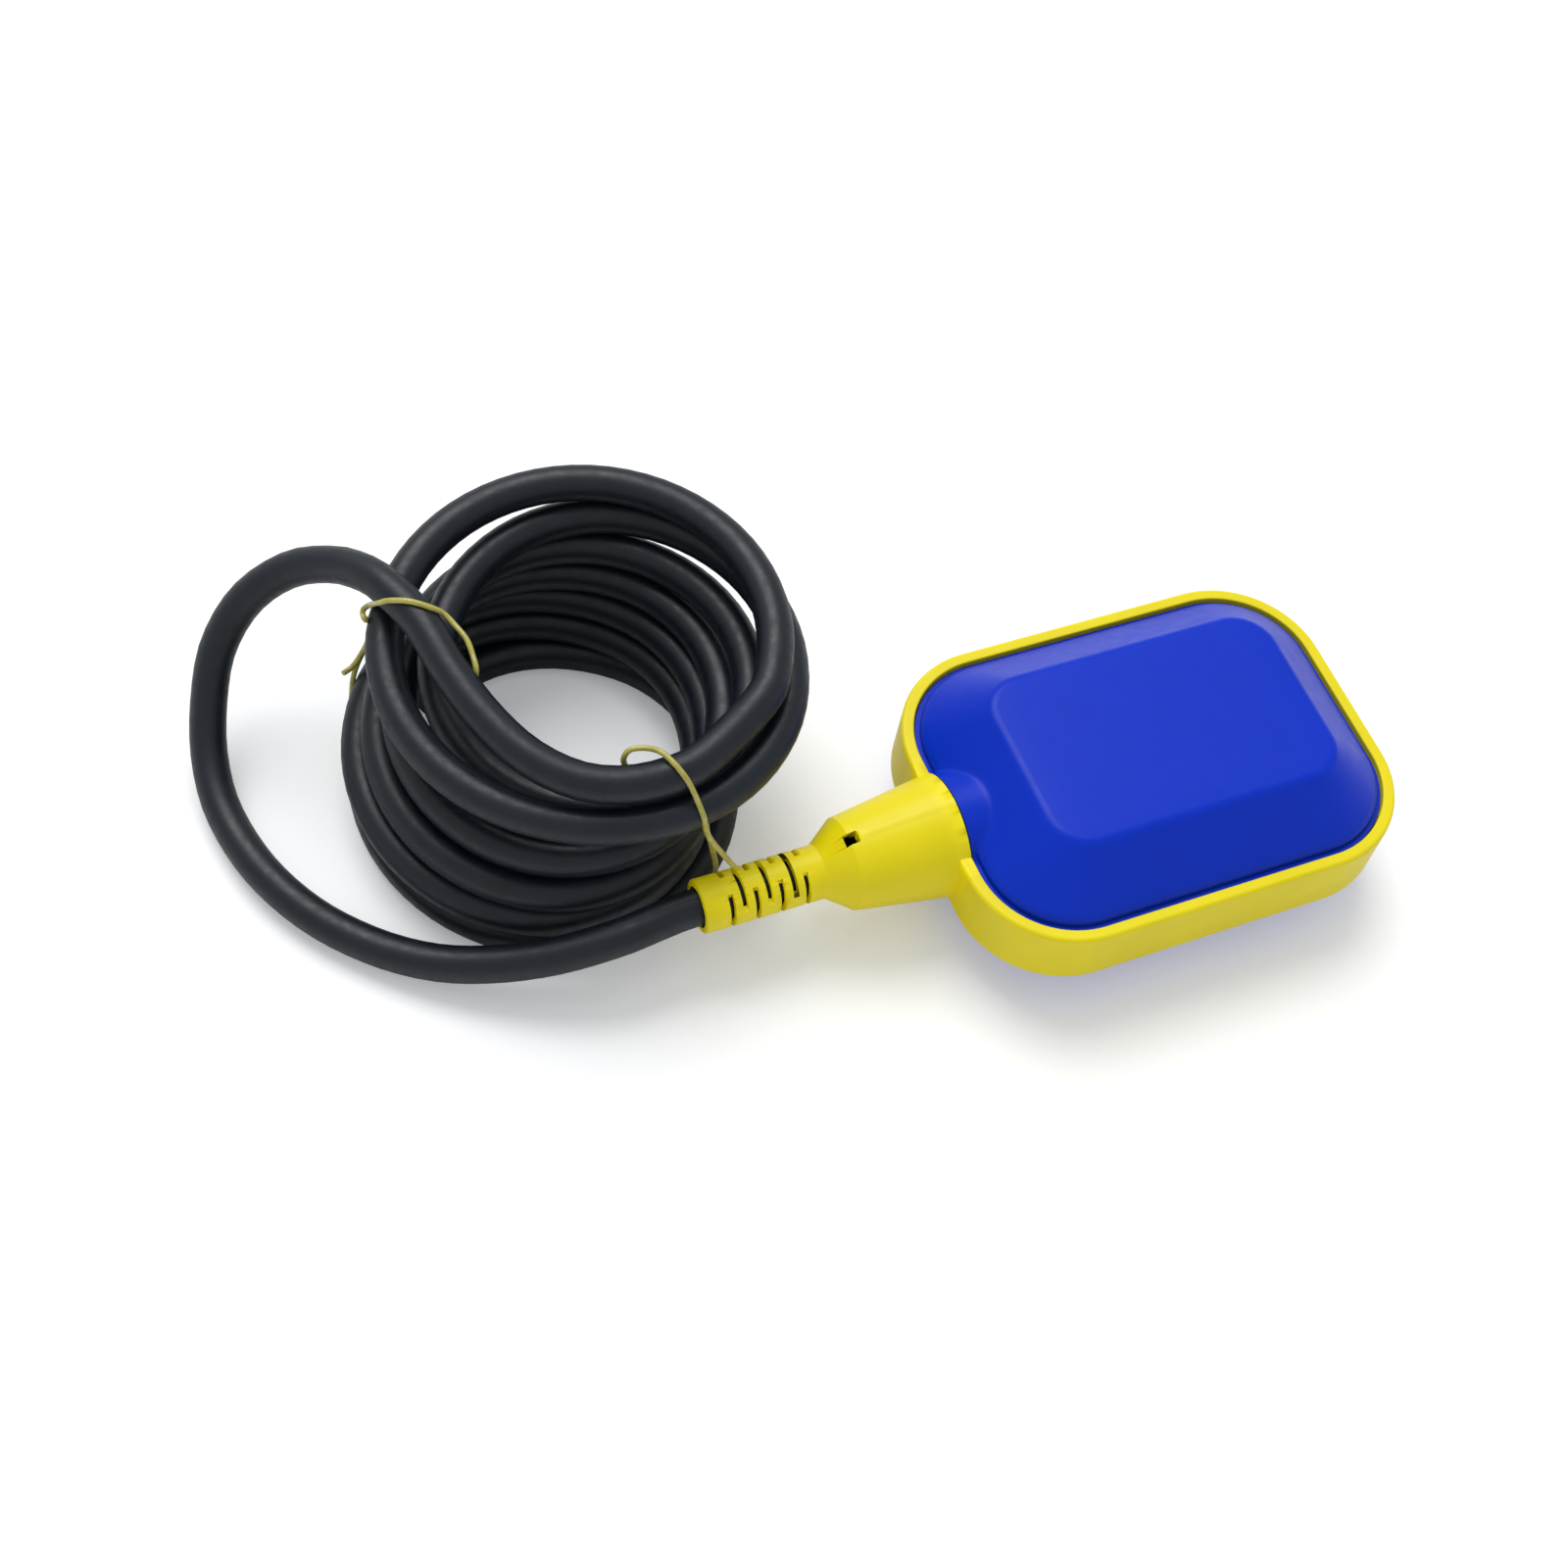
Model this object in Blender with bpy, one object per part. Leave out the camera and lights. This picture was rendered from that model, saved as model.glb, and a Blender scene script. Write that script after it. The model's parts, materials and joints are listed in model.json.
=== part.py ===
"""Cable float switch: a hollow float with a sealed switch chamber, and its coiled cable.

Two blue covers close the yellow frame, which carries the neck and the slotted bend relief in one
moulding. Inside, a steel ball rolls as the float tips, lifts a lever and presses a small switch.
All sizes are in metres. The origin is on the floor, under the middle of the rigid part, and the
cable leaves along -X.
"""

import math

import bmesh
import bpy
from mathutils import Matrix, Vector

MM = 0.001
GAP = 0.3 * MM
OVERLAP = 1.0 * MM

# How finely round forms are drawn
NECK_STEPS = 40
COIL_STEPS = 48
RING_STEPS = 24
PIN_STEPS = 16
FILLET_STEPS = 3
EDGE_STEPS = 2
SHARP_ANGLE = math.radians(35)

# Float body
BODY_LENGTH = 109.0 * MM
BODY_WIDTH = 81.0 * MM
BODY_HEIGHT = 41.5 * MM
BODY_CORNER = 24.6 * MM
BAND_HEIGHT = 16.8 * MM
RIM_WIDTH = 3.0 * MM
RIM_ROUND = 1.0 * MM
RIM_INNER_ROUND = 0.4 * MM
WEB_REACH = 5.0 * MM
WEB_THICKNESS = 3.0 * MM
CORNER_STEPS = 6

# Covers
COVER_WALL = 2.4 * MM
GROOVE_WIDTH = 1.2 * MM
GROOVE_DEPTH = 1.3 * MM
COVER_LIP = 0.3 * MM
COVER_EDGE_ROUND = 0.9 * MM
HUMP_SET_BACK = 0.1 * MM
PLATEAU_LENGTH = 73.0 * MM
PLATEAU_WIDTH = 46.0 * MM
PLATEAU_CORNER = 9.2 * MM
PLATEAU_SHIFT = 0.5 * MM

# Neck and slotted bend relief, turned about the cable's axis
NECK_LENGTH = 22.5 * MM
NECK_ROOT_RADIUS = 14.1 * MM
NECK_END_RADIUS = 10.9 * MM
NECK_WALL = 2.4 * MM
NECK_SET_BACK = 0.2 * MM
SHOULDER_LENGTH = 6.3 * MM
TAIL_LENGTH = 29.0 * MM
TAIL_RADIUS = 6.3 * MM
TAIL_BORE_RADIUS = 4.8 * MM
TAIL_EDGE_ROUND = 0.5 * MM
SLOT_PITCH = 6.0 * MM
SLOT_WIDTH = 1.3 * MM
SIDE_SLOTS = 4
FIRST_SLOT = 6.3 * MM
BRIDGE_WIDTH = 4.6 * MM
WINDOW_LENGTH = 3.2 * MM
WINDOW_WIDTH = 3.0 * MM
WINDOW_OVER_SHOULDER = 1.1 * MM

# Switch chamber
CHAMBER_LENGTH = 68.0 * MM
CHAMBER_WIDTH = 38.0 * MM
CHAMBER_CORNER = 6.0 * MM
CHAMBER_WALL = 2.0 * MM
CHAMBER_SPLIT = 6.0 * MM
SEAL_THICKNESS = 1.0 * MM
BOSS_RADIUS = 3.0 * MM
BOSS_FROM_END = 0.5 * MM
BOSS_INTO_WALL = 0.8 * MM
SCREW_RADIUS = 1.25 * MM
SCREW_HEAD_RADIUS = 2.3 * MM
SCREW_HEAD_HEIGHT = 1.4 * MM
SCREW_LENGTH = 21.0 * MM
SCREW_HEAD_SINK = 0.6 * MM
SCREW_CLEARANCE = 0.2 * MM

# Steel ball and its channel
BALL_RADIUS = 8.0 * MM
BALL_TRAVEL = 11.5 * MM
RIB_THICKNESS = 2.0 * MM
RIB_HEIGHT = 9.0 * MM

# Lever on its pin
PIVOT_X = 1.0 * MM
PIVOT_ABOVE_BALL = 3.0 * MM
HUB_RADIUS = 2.4 * MM
HUB_WIDTH = 6.0 * MM
LEVER_REACH = 25.5 * MM
LEVER_THICKNESS = 1.5 * MM
FINGER_OFFSET = 4.1 * MM
FINGER_THICKNESS = 2.6 * MM
FINGER_HEIGHT = 6.2 * MM
PIN_RADIUS = 1.2 * MM
PIN_CLEARANCE = 0.08 * MM
CRADLE_WALL = 2.0 * MM
CRADLE_MARGIN = 2.0 * MM

# Small switch, its plunger, terminals and fixing pins
SWITCH_LENGTH = 19.8 * MM
SWITCH_DEPTH = 10.2 * MM
SWITCH_THICKNESS = 6.4 * MM
SWITCH_COVER = 1.5 * MM
SWITCH_BELOW_PLUNGER = 12.0 * MM
PLUNGER_ABOVE_PIVOT = 3.5 * MM
PLUNGER_RADIUS = 1.0 * MM
PLUNGER_STROKE = 2.0 * MM
PLUNGER_SEAT = 3.0 * MM
PLUNGER_CLEARANCE = 0.15 * MM
FIXING_RADIUS = 1.1 * MM
FIXING_SPACING = 9.5 * MM
FIXING_FROM_BACK = 2.5 * MM
FIXING_FROM_END = 5.1 * MM
TERMINAL_PITCH = 7.1 * MM
TERMINAL_FROM_END = 2.8 * MM
TERMINAL_WIDTH = 3.2 * MM
TERMINAL_THICKNESS = 0.6 * MM
TERMINAL_LENGTH = 4.0 * MM
TERMINAL_SEAT = 1.4 * MM

# Cable, its seal and its cores
CABLE_RADIUS = 4.25 * MM
JACKET_END = 60.0 * MM
CORE_RADIUS = 1.1 * MM
CORE_SPACING = 2.0 * MM
SEAL_FROM_SHOULDER = 3.5 * MM
SEAL_LENGTH = 7.0 * MM
RING_LENGTH = 3.0 * MM
GROMMET_RADIUS = 4.0 * MM
GROMMET_FLANGE = 1.6 * MM
GROMMET_LIP = 1.2 * MM
GROMMET_INNER_LIP = 0.8 * MM
CORE_ANGLES = {"brown": -90, "blue": 30, "black": 150}

# Coil: a stack of turns that leans a little towards the float
COIL_CENTRE = (-92.8 * MM, 50.8 * MM)
COIL_LEAN = (3.2 * MM, 6.0 * MM)
COIL_RADIUS = 41.5 * MM
COIL_WALL = 9.8 * MM
COIL_HEIGHT = 35.7 * MM
COIL_LIFT = 1.7 * MM
COIL_ROUND = 3.6 * MM
TOP_TURN_CENTRE = (-86.4 * MM, 62.3 * MM)
TOP_TURN_START = -62.0
TOP_TURN_END = 120.0
TOP_TURN_RADIUS = 41.0 * MM
TOP_TURN_SPREAD = 2.6 * MM
TOP_TURN_HEIGHT = 43.9 * MM
TOP_TURN_FALL = 1.8 * MM
TOP_TURN_POINTS = 14
CABLE_SPACING = 12.0 * MM
CURVE_FINENESS = 24

# Cable route in millimetres, from the bend relief round the left of the coil and onto its top
CABLE_ROUTE = (
    (-92.5, -0.6, 20.6),
    (-102.5, -1.2, 19.6),
    (-116.5, -0.6, 15.2),
    (-130.0, 3.4, 10.4),
    (-142.2, 9.6, 6.8),
    (-153.6, 19.1, 5.0),
    (-163.2, 32.6, 4.7),
    (-170.6, 48.2, 4.9),
    (-173.2, 65.7, 4.9),
    (-172.3, 78.8, 8.3),
    (-169.1, 89.3, 15.3),
    (-163.2, 96.5, 24.5),
    (-154.9, 99.5, 34.4),
    (-145.8, 97.8, 43.4),
    (-137.8, 92.7, 49.9),
    (-131.9, 86.1, 54.0),
    (-127.1, 77.9, 56.2),
    (-123.2, 67.6, 56.3),
    (-120.8, 58.9, 53.9),
    (-118.2, 50.2, 51.3),
    (-114.2, 40.7, 49.4),
    (-107.3, 31.7, 47.6),
    (-98.0, 25.3, 46.1),
    (-88.5, 22.7, 44.8),
    (-78.0, 22.8, 44.3),
)

# Wire ties: each wraps the whole coil, and its two ends meet at the coil's outer side
TIE_RADIUS = 0.65 * MM
TIE_SPACING = 3.0 * MM

# What follows from the sizes above
MID_HEIGHT = BODY_HEIGHT / 2
BODY_X = (NECK_LENGTH + SHOULDER_LENGTH + TAIL_LENGTH) / 2
HALF_LENGTH = BODY_LENGTH / 2
HALF_BAND = BAND_HEIGHT / 2
NECK_END_X = -HALF_LENGTH - NECK_LENGTH
TAIL_ROOT_X = NECK_END_X - SHOULDER_LENGTH
TAIL_END_X = TAIL_ROOT_X - TAIL_LENGTH
NECK_START_X = -HALF_LENGTH + RIM_WIDTH - NECK_SET_BACK
NECK_TAPER = (NECK_ROOT_RADIUS - NECK_END_RADIUS) / NECK_LENGTH
NECK_START_RADIUS = NECK_ROOT_RADIUS + NECK_TAPER * RIM_WIDTH
COVER_INSET = RIM_WIDTH + GAP
CHAMBER_TOP = MID_HEIGHT - COVER_WALL - GAP
CHAMBER_FLOOR = -CHAMBER_TOP + CHAMBER_WALL
CHAMBER_END_X = CHAMBER_LENGTH / 2 - CHAMBER_WALL
LID_BOTTOM = CHAMBER_SPLIT + SEAL_THICKNESS + 2 * GAP
BOSS_X = CHAMBER_END_X - BOSS_RADIUS - BOSS_FROM_END
BOSS_Y = CHAMBER_WIDTH / 2 - CHAMBER_WALL - BOSS_RADIUS + BOSS_INTO_WALL
SCREW_HEAD_Z = CHAMBER_TOP - SCREW_HEAD_HEIGHT - SCREW_HEAD_SINK
SCREW_HOLE_RADIUS = SCREW_RADIUS + SCREW_CLEARANCE
BALL_X = CHAMBER_END_X - GAP - BALL_RADIUS
BALL_Z = CHAMBER_FLOOR + GAP + BALL_RADIUS
PIVOT_Z = BALL_Z + PIVOT_ABOVE_BALL
PLUNGER_Z = PIVOT_Z + PLUNGER_ABOVE_PIVOT
PLUNGER_TIP_X = PIVOT_X - FINGER_OFFSET - GAP
SWITCH_FRONT_X = PLUNGER_TIP_X - PLUNGER_STROKE
SWITCH_BACK_X = SWITCH_FRONT_X - SWITCH_DEPTH
SWITCH_BOTTOM = PLUNGER_Z - SWITCH_BELOW_PLUNGER
SWITCH_SIDE = SWITCH_THICKNESS / 2
SWITCH_SPLIT_Y = SWITCH_SIDE - SWITCH_COVER - GAP
PLUNGER_Y = (SWITCH_SPLIT_Y - SWITCH_SIDE) / 2
CRADLE_INNER = SWITCH_SIDE + GAP
CRADLE_OUTER = CRADLE_INNER + CRADLE_WALL
CRADLE_FRONT_X = BALL_X - BALL_TRAVEL - math.sqrt((BALL_RADIUS + GAP) ** 2 - CRADLE_INNER**2)
FIXING_X = SWITCH_BACK_X + FIXING_FROM_BACK
TERMINAL_END_X = SWITCH_BACK_X - TERMINAL_LENGTH
BUNDLE_RADIUS = (2 * CORE_RADIUS + GAP) / math.sqrt(3)
GROMMET_BORE = BUNDLE_RADIUS + CORE_RADIUS + GAP
COIL_INNER = COIL_RADIUS - COIL_WALL / 2
COIL_OUTER = COIL_RADIUS + COIL_WALL / 2
TIE_OUTSIDE = (COIL_OUTER + 2 * GAP + TIE_RADIUS) / MM
TIE_INSIDE = (COIL_INNER - 2 * GAP - TIE_RADIUS) / MM
TIE_UNDER = (COIL_LIFT - GAP - TIE_RADIUS) / MM


def linear(channel):
    """The linear value of one sRGB channel from 0 to 255."""
    value = channel / 255
    return value / 12.92 if value <= 0.04045 else ((value + 0.055) / 1.055) ** 2.4


def material(name, colour, roughness, metallic=0.0):
    """A Principled material from an sRGB colour."""
    made = bpy.data.materials.new(name)
    made.use_nodes = True
    shader = made.node_tree.nodes["Principled BSDF"]
    shader.inputs["Base Color"].default_value = (*map(linear, colour), 1.0)
    shader.inputs["Roughness"].default_value = roughness
    shader.inputs["Metallic"].default_value = metallic
    made.diffuse_color = (*map(linear, colour), 1.0)
    return made


def collection(name, hidden=False):
    """A collection in the scene; one that holds cutters stays out of renders."""
    made = bpy.data.collections.new(name)
    made.hide_render = hidden
    bpy.context.scene.collection.children.link(made)
    return made


def clear_scene():
    """Removes every object that the file opened with."""
    for thing in list(bpy.data.objects):
        bpy.data.objects.remove(thing, do_unlink=True)


def mesh_of(name, shape):
    """A mesh from a bmesh, with its faces pointing out and its round sides smooth."""
    bmesh.ops.recalc_face_normals(shape, faces=shape.faces)
    mesh = bpy.data.meshes.new(name)
    shape.to_mesh(mesh)
    shape.free()
    mesh.shade_smooth()
    mesh.set_sharp_from_angle(angle=SHARP_ANGLE)
    return mesh


def place(name, data, home, finish=None, parent=None):
    """An object of this mesh or curve in a collection, with a finish or drawn as wire."""
    made = bpy.data.objects.new(name, data)
    home.objects.link(made)
    if finish is None:
        made.hide_render = True
        made.display_type = "WIRE"
    else:
        data.materials.append(finish)
    if parent is not None:
        made.parent = parent
    return made


def cutter(name, shape, home, parent):
    """A helper object made from this shape, for a Boolean."""
    return place(name, mesh_of(name, shape), home, parent=parent)


def boolean(target, other, operation):
    """Joins or cuts the target with the other object."""
    modifier = target.modifiers.new(f"{operation.lower()} {other.name}", "BOOLEAN")
    modifier.operation = operation
    modifier.solver = "EXACT"
    modifier.object = other


def add_box(shape, low, high):
    """Adds a box between two corners."""
    size = Vector(high) - Vector(low)
    middle = (Vector(high) + Vector(low)) / 2
    matrix = Matrix.Translation(middle) @ Matrix.Diagonal((*size, 1.0))
    return bmesh.ops.create_cube(shape, size=1.0, matrix=matrix)["verts"]


def add_rod(shape, start, end, radius, segments=PIN_STEPS):
    """Adds a cylinder between two points."""
    along = Vector(end) - Vector(start)
    turn = along.to_track_quat("Z", "Y").to_matrix().to_4x4()
    matrix = Matrix.Translation((Vector(end) + Vector(start)) / 2) @ turn
    bmesh.ops.create_cone(
        shape,
        cap_ends=True,
        segments=segments,
        radius1=radius,
        radius2=radius,
        depth=along.length,
        matrix=matrix,
    )


def rounded_rectangle(length, width, radius, shift=0.0):
    """The outline of a rectangle with round corners, anticlockwise from its +X side."""
    corners = (
        (length / 2 - radius, width / 2 - radius, 0),
        (-length / 2 + radius, width / 2 - radius, 90),
        (-length / 2 + radius, -width / 2 + radius, 180),
        (length / 2 - radius, -width / 2 + radius, 270),
    )
    outline = []
    for x, y, start in corners:
        for step in range(CORNER_STEPS + 1):
            angle = math.radians(start + 90 * step / CORNER_STEPS)
            outline.append((x + shift + radius * math.cos(angle), y + radius * math.sin(angle)))
    return outline


def inset_outline(inset):
    """The float's outline, moved in from the band's outer face."""
    return rounded_rectangle(BODY_LENGTH - 2 * inset, BODY_WIDTH - 2 * inset, BODY_CORNER - inset)


def plateau_outline(inset=0.0):
    """The outline of a cover's flat, moved in from its edge."""
    return rounded_rectangle(
        PLATEAU_LENGTH - 2 * inset,
        PLATEAU_WIDTH - 2 * inset,
        PLATEAU_CORNER - inset,
        PLATEAU_SHIFT,
    )


def blend(first, second, share):
    """An outline part of the way from one outline to another."""
    return [
        (a[0] + (b[0] - a[0]) * share, a[1] + (b[1] - a[1]) * share)
        for a, b in zip(first, second)
    ]


def loft(name, sections, closed=False):
    """A mesh through outlines of equal length, capped at both ends or closed on itself."""
    shape = bmesh.new()
    loops = [[shape.verts.new((x, y, z)) for x, y in outline] for outline, z in sections]
    count = len(loops[0])
    pairs = list(zip(loops, loops[1:]))
    if closed:
        pairs.append((loops[-1], loops[0]))
    else:
        shape.faces.new(loops[0])
        shape.faces.new(loops[-1])
    for lower, upper in pairs:
        for i in range(count):
            following = (i + 1) % count
            shape.faces.new((lower[i], lower[following], upper[following], upper[i]))
    return mesh_of(name, shape)


def fillet(corners, steps=FILLET_STEPS):
    """A closed outline whose corners (x, z, radius) are rounded by arcs."""
    rounded = []
    for i, (x, z, radius) in enumerate(corners):
        here = Vector((x, z))
        before = (Vector(corners[i - 1][:2]) - here).normalized()
        after = (Vector(corners[(i + 1) % len(corners)][:2]) - here).normalized()
        if radius <= 0:
            rounded.append((x, z))
            continue
        half = before.angle(after) / 2
        centre = here + (before + after).normalized() * radius / math.sin(half)
        first = here + before * radius / math.tan(half) - centre
        last = here + after * radius / math.tan(half) - centre
        for step in range(steps + 1):
            arm = first.lerp(last, step / steps).normalized() * radius
            rounded.append(tuple(centre + arm))
    return rounded


def turned(name, profile, steps, axis="X"):
    """A mesh turned about an axis from the closed outline of (along, radius) points."""
    shape = bmesh.new()
    rings = []
    for along, radius in profile:
        ring = []
        for step in range(steps if radius > 0 else 1):
            angle = math.tau * (step + 0.5) / steps
            side, height = radius * math.cos(angle), radius * math.sin(angle)
            place_on_ring = (along, side, height) if axis == "X" else (side, height, along)
            ring.append(shape.verts.new(place_on_ring))
        rings.append(ring)
    for first, second in zip(rings, rings[1:] + rings[:1]):
        if len(first) == len(second) == 1:
            continue
        for i in range(steps):
            j = (i + 1) % steps
            corners = [first[i % len(first)], first[j % len(first)]]
            corners += [second[j % len(second)], second[i % len(second)]]
            shape.faces.new(dict.fromkeys(corners))
    return mesh_of(name, shape)


def smooth_route(points, spacing):
    """Evenly spaced points on a smooth curve through the given ones."""
    padded = [2 * points[0] - points[1], *points, 2 * points[-1] - points[-2]]
    fine = []
    for a, b, c, d in zip(padded, padded[1:], padded[2:], padded[3:]):
        for step in range(CURVE_FINENESS):
            t = step / CURVE_FINENESS
            bend = 2 * a - 5 * b + 4 * c - d
            twist = 3 * b - a - 3 * c + d
            fine.append((2 * b + (c - a) * t + bend * t**2 + twist * t**3) / 2)
    fine.append(points[-1])
    runs = [0.0]
    for first, second in zip(fine, fine[1:]):
        runs.append(runs[-1] + (second - first).length)
    count = max(2, round(runs[-1] / spacing))
    spaced = []
    at = 0
    for index in range(count + 1):
        distance = runs[-1] * index / count
        while at < len(runs) - 2 and runs[at + 1] < distance:
            at += 1
        share = (distance - runs[at]) / (runs[at + 1] - runs[at])
        spaced.append(fine[at].lerp(fine[at + 1], min(1.0, share)))
    return spaced


def tube(name, points, radius, home, finish, parent=None, resolution=2):
    """A round wire or cable through these points."""
    curve = bpy.data.curves.new(name, "CURVE")
    curve.dimensions = "3D"
    curve.bevel_depth = radius
    curve.bevel_resolution = resolution
    curve.use_fill_caps = True
    spline = curve.splines.new("POLY")
    spline.points.add(len(points) - 1)
    for point, position in zip(spline.points, points):
        point.co = (*position, 1.0)
    spline.use_smooth = True
    return place(name, curve, home, finish, parent)


def in_metres(route):
    """A route given in millimetres, as vectors."""
    return [Vector(point) * MM for point in route]


def neck_blank(home, parent):
    """The outside of the neck, shoulder and tail, before it is bored and slotted."""
    profile = (
        (NECK_START_X, 0.0),
        (NECK_START_X, NECK_START_RADIUS),
        (NECK_END_X, NECK_END_RADIUS),
        (TAIL_ROOT_X, TAIL_RADIUS),
        (TAIL_END_X + TAIL_EDGE_ROUND, TAIL_RADIUS),
        (TAIL_END_X, TAIL_RADIUS - TAIL_EDGE_ROUND),
        (TAIL_END_X, 0.0),
    )
    return place("neck_blank", turned("neck_blank", profile, NECK_STEPS), home, parent=parent)


def cavity_radius(x):
    """The inner radius of the neck at this place along it."""
    return NECK_END_RADIUS + NECK_TAPER * (x - NECK_END_X) - NECK_WALL


def neck_bore(home, parent):
    """The cable's bore through the tail, and the wider space in the neck."""
    inner_x = NECK_START_X + NECK_SET_BACK + WEB_REACH + OVERLAP
    throat_x = NECK_END_X - NECK_WALL
    profile = (
        (inner_x, 0.0),
        (inner_x, cavity_radius(inner_x)),
        (NECK_END_X, cavity_radius(NECK_END_X)),
        (throat_x, TAIL_BORE_RADIUS),
        (TAIL_END_X - OVERLAP, TAIL_BORE_RADIUS),
        (TAIL_END_X - OVERLAP, 0.0),
    )
    return place("neck_bore", turned("neck_bore", profile, NECK_STEPS), home, parent=parent)


def tail_slots(home, parent):
    """Slots in rows that alternate between the sides and the top and bottom of the tail."""
    shape = bmesh.new()
    reach = TAIL_RADIUS + OVERLAP
    inner = BRIDGE_WIDTH / 2
    for row in range(2 * SIDE_SLOTS - 1):
        x = TAIL_END_X + FIRST_SLOT + row * SLOT_PITCH / 2
        low, high = x - SLOT_WIDTH / 2, x + SLOT_WIDTH / 2
        for side in (-1, 1):
            near, far = sorted((side * inner, side * reach))
            if row % 2 == 0:
                add_box(shape, (low, near, -reach), (high, far, reach))
            else:
                add_box(shape, (low, -reach, near), (high, reach, far))
    return cutter("tail_slots", shape, home, parent)


def neck_window(home, parent):
    """The small square window at the top of the neck, over the edge of its shoulder."""
    shape = bmesh.new()
    start_x = NECK_END_X - WINDOW_OVER_SHOULDER
    low = (start_x, -WINDOW_WIDTH / 2, CABLE_RADIUS)
    high = (start_x + WINDOW_LENGTH, WINDOW_WIDTH / 2, NECK_START_RADIUS)
    add_box(shape, low, high)
    return cutter("neck_window", shape, home, parent)


def build_frame(parts, cutters, parent, finish):
    """The yellow moulding: rim band, inner web, neck and slotted tail in one piece."""
    web_inset = RIM_WIDTH + WEB_REACH
    half_web = WEB_THICKNESS / 2
    section = fillet(
        (
            (0.0, -HALF_BAND, RIM_ROUND),
            (0.0, HALF_BAND, RIM_ROUND),
            (RIM_WIDTH, HALF_BAND, RIM_INNER_ROUND),
            (RIM_WIDTH, half_web, 0.0),
            (web_inset, half_web, 0.0),
            (web_inset, -half_web, 0.0),
            (RIM_WIDTH, -half_web, 0.0),
            (RIM_WIDTH, -HALF_BAND, RIM_INNER_ROUND),
        )
    )
    band = loft("float_frame", [(inset_outline(inset), z) for inset, z in section], closed=True)
    frame = place("float_frame", band, parts, finish, parent)
    inside = neck_bore(cutters, parent)
    boolean(inside, tail_slots(cutters, parent), "UNION")
    boolean(inside, neck_window(cutters, parent), "UNION")
    boolean(frame, neck_blank(cutters, parent), "UNION")
    boolean(frame, inside, "DIFFERENCE")


def rounded_edge(lip, lip_z):
    """Outlines that round the edge between a cover's slope and its flat, from the slope's side."""
    flat = plateau_outline()
    inner = plateau_outline(COVER_EDGE_ROUND)
    slope_run = (BODY_WIDTH - 2 * (COVER_INSET + GROOVE_WIDTH) - PLATEAU_WIDTH) / 2
    share = COVER_EDGE_ROUND / math.hypot(slope_run, MID_HEIGHT - lip_z)
    start = blend(flat, lip, share)
    start_z = MID_HEIGHT - (MID_HEIGHT - lip_z) * share
    sections = []
    for step in range(EDGE_STEPS + 1):
        t = step / EDGE_STEPS
        outline = blend(blend(start, flat, t), blend(flat, inner, t), t)
        sections.append((outline, start_z + (MID_HEIGHT - start_z) * (2 * t - t * t)))
    return sections


def cover_sections():
    """A cover's wall as outlines, from the inside of its flat, round its skirt, to the outside."""
    skirt_z = WEB_THICKNESS / 2 + GAP
    ledge_z = HALF_BAND - GROOVE_DEPTH
    lip_z = HALF_BAND + COVER_LIP
    lip_inset = COVER_INSET + GROOVE_WIDTH
    slope_run = (BODY_WIDTH - 2 * lip_inset - PLATEAU_WIDTH) / 2
    slope = math.atan2(MID_HEIGHT - lip_z, slope_run)
    side_shift = COVER_WALL * math.tan(slope / 2)
    return [
        (plateau_outline(side_shift), MID_HEIGHT - COVER_WALL),
        (inset_outline(lip_inset + COVER_WALL), lip_z - side_shift),
        (inset_outline(lip_inset + COVER_WALL), ledge_z - COVER_WALL),
        (inset_outline(COVER_INSET + COVER_WALL), ledge_z - COVER_WALL - GROOVE_WIDTH),
        (inset_outline(COVER_INSET + COVER_WALL), skirt_z),
        (inset_outline(COVER_INSET), skirt_z),
        (inset_outline(COVER_INSET), ledge_z),
        (inset_outline(lip_inset), ledge_z),
        (inset_outline(lip_inset), lip_z),
        *rounded_edge(inset_outline(lip_inset), lip_z),
    ]


def hump_blank(name, x_start, x_end, radius, side, home, parent):
    """Half of a cylinder about the cable's axis, on one side of the web."""
    shape = bmesh.new()
    add_rod(shape, (x_start, 0, 0), (x_end, 0, 0), radius, NECK_STEPS)
    floor = WEB_THICKNESS / 2 + GAP
    geometry = [*shape.verts, *shape.edges, *shape.faces]
    bmesh.ops.bisect_plane(
        shape, geom=geometry, plane_co=(0, 0, floor), plane_no=(0, 0, -1), clear_outer=True
    )
    bmesh.ops.holes_fill(shape, edges=shape.edges)
    if side < 0:
        bmesh.ops.scale(shape, vec=(1, 1, -1), verts=shape.verts)
    return cutter(name, shape, home, parent)


def build_cover(name, side, parts, cutters, parent, finish):
    """A blue cover shell with a hump that carries on from the neck; side is 1 above, -1 below."""
    sections = [(outline, side * z) for outline, z in cover_sections()]
    cover = place(name, loft(name, sections), parts, finish, parent)
    front_x = -HALF_LENGTH + COVER_INSET + HUMP_SET_BACK
    radius = NECK_START_RADIUS - GAP
    back_x = front_x + radius
    hump = hump_blank(f"{name}_hump", front_x, back_x, radius, side, cutters, parent)
    hollow = hump_blank(
        f"{name}_hollow",
        front_x - OVERLAP,
        back_x + OVERLAP,
        radius - COVER_WALL,
        side,
        cutters,
        parent,
    )
    boolean(cover, hump, "UNION")
    boolean(cover, hollow, "DIFFERENCE")


def chamber_outline(inset=0.0):
    """The switch chamber's outline, moved in from its outer face."""
    return rounded_rectangle(
        CHAMBER_LENGTH - 2 * inset, CHAMBER_WIDTH - 2 * inset, CHAMBER_CORNER - inset
    )


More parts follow.
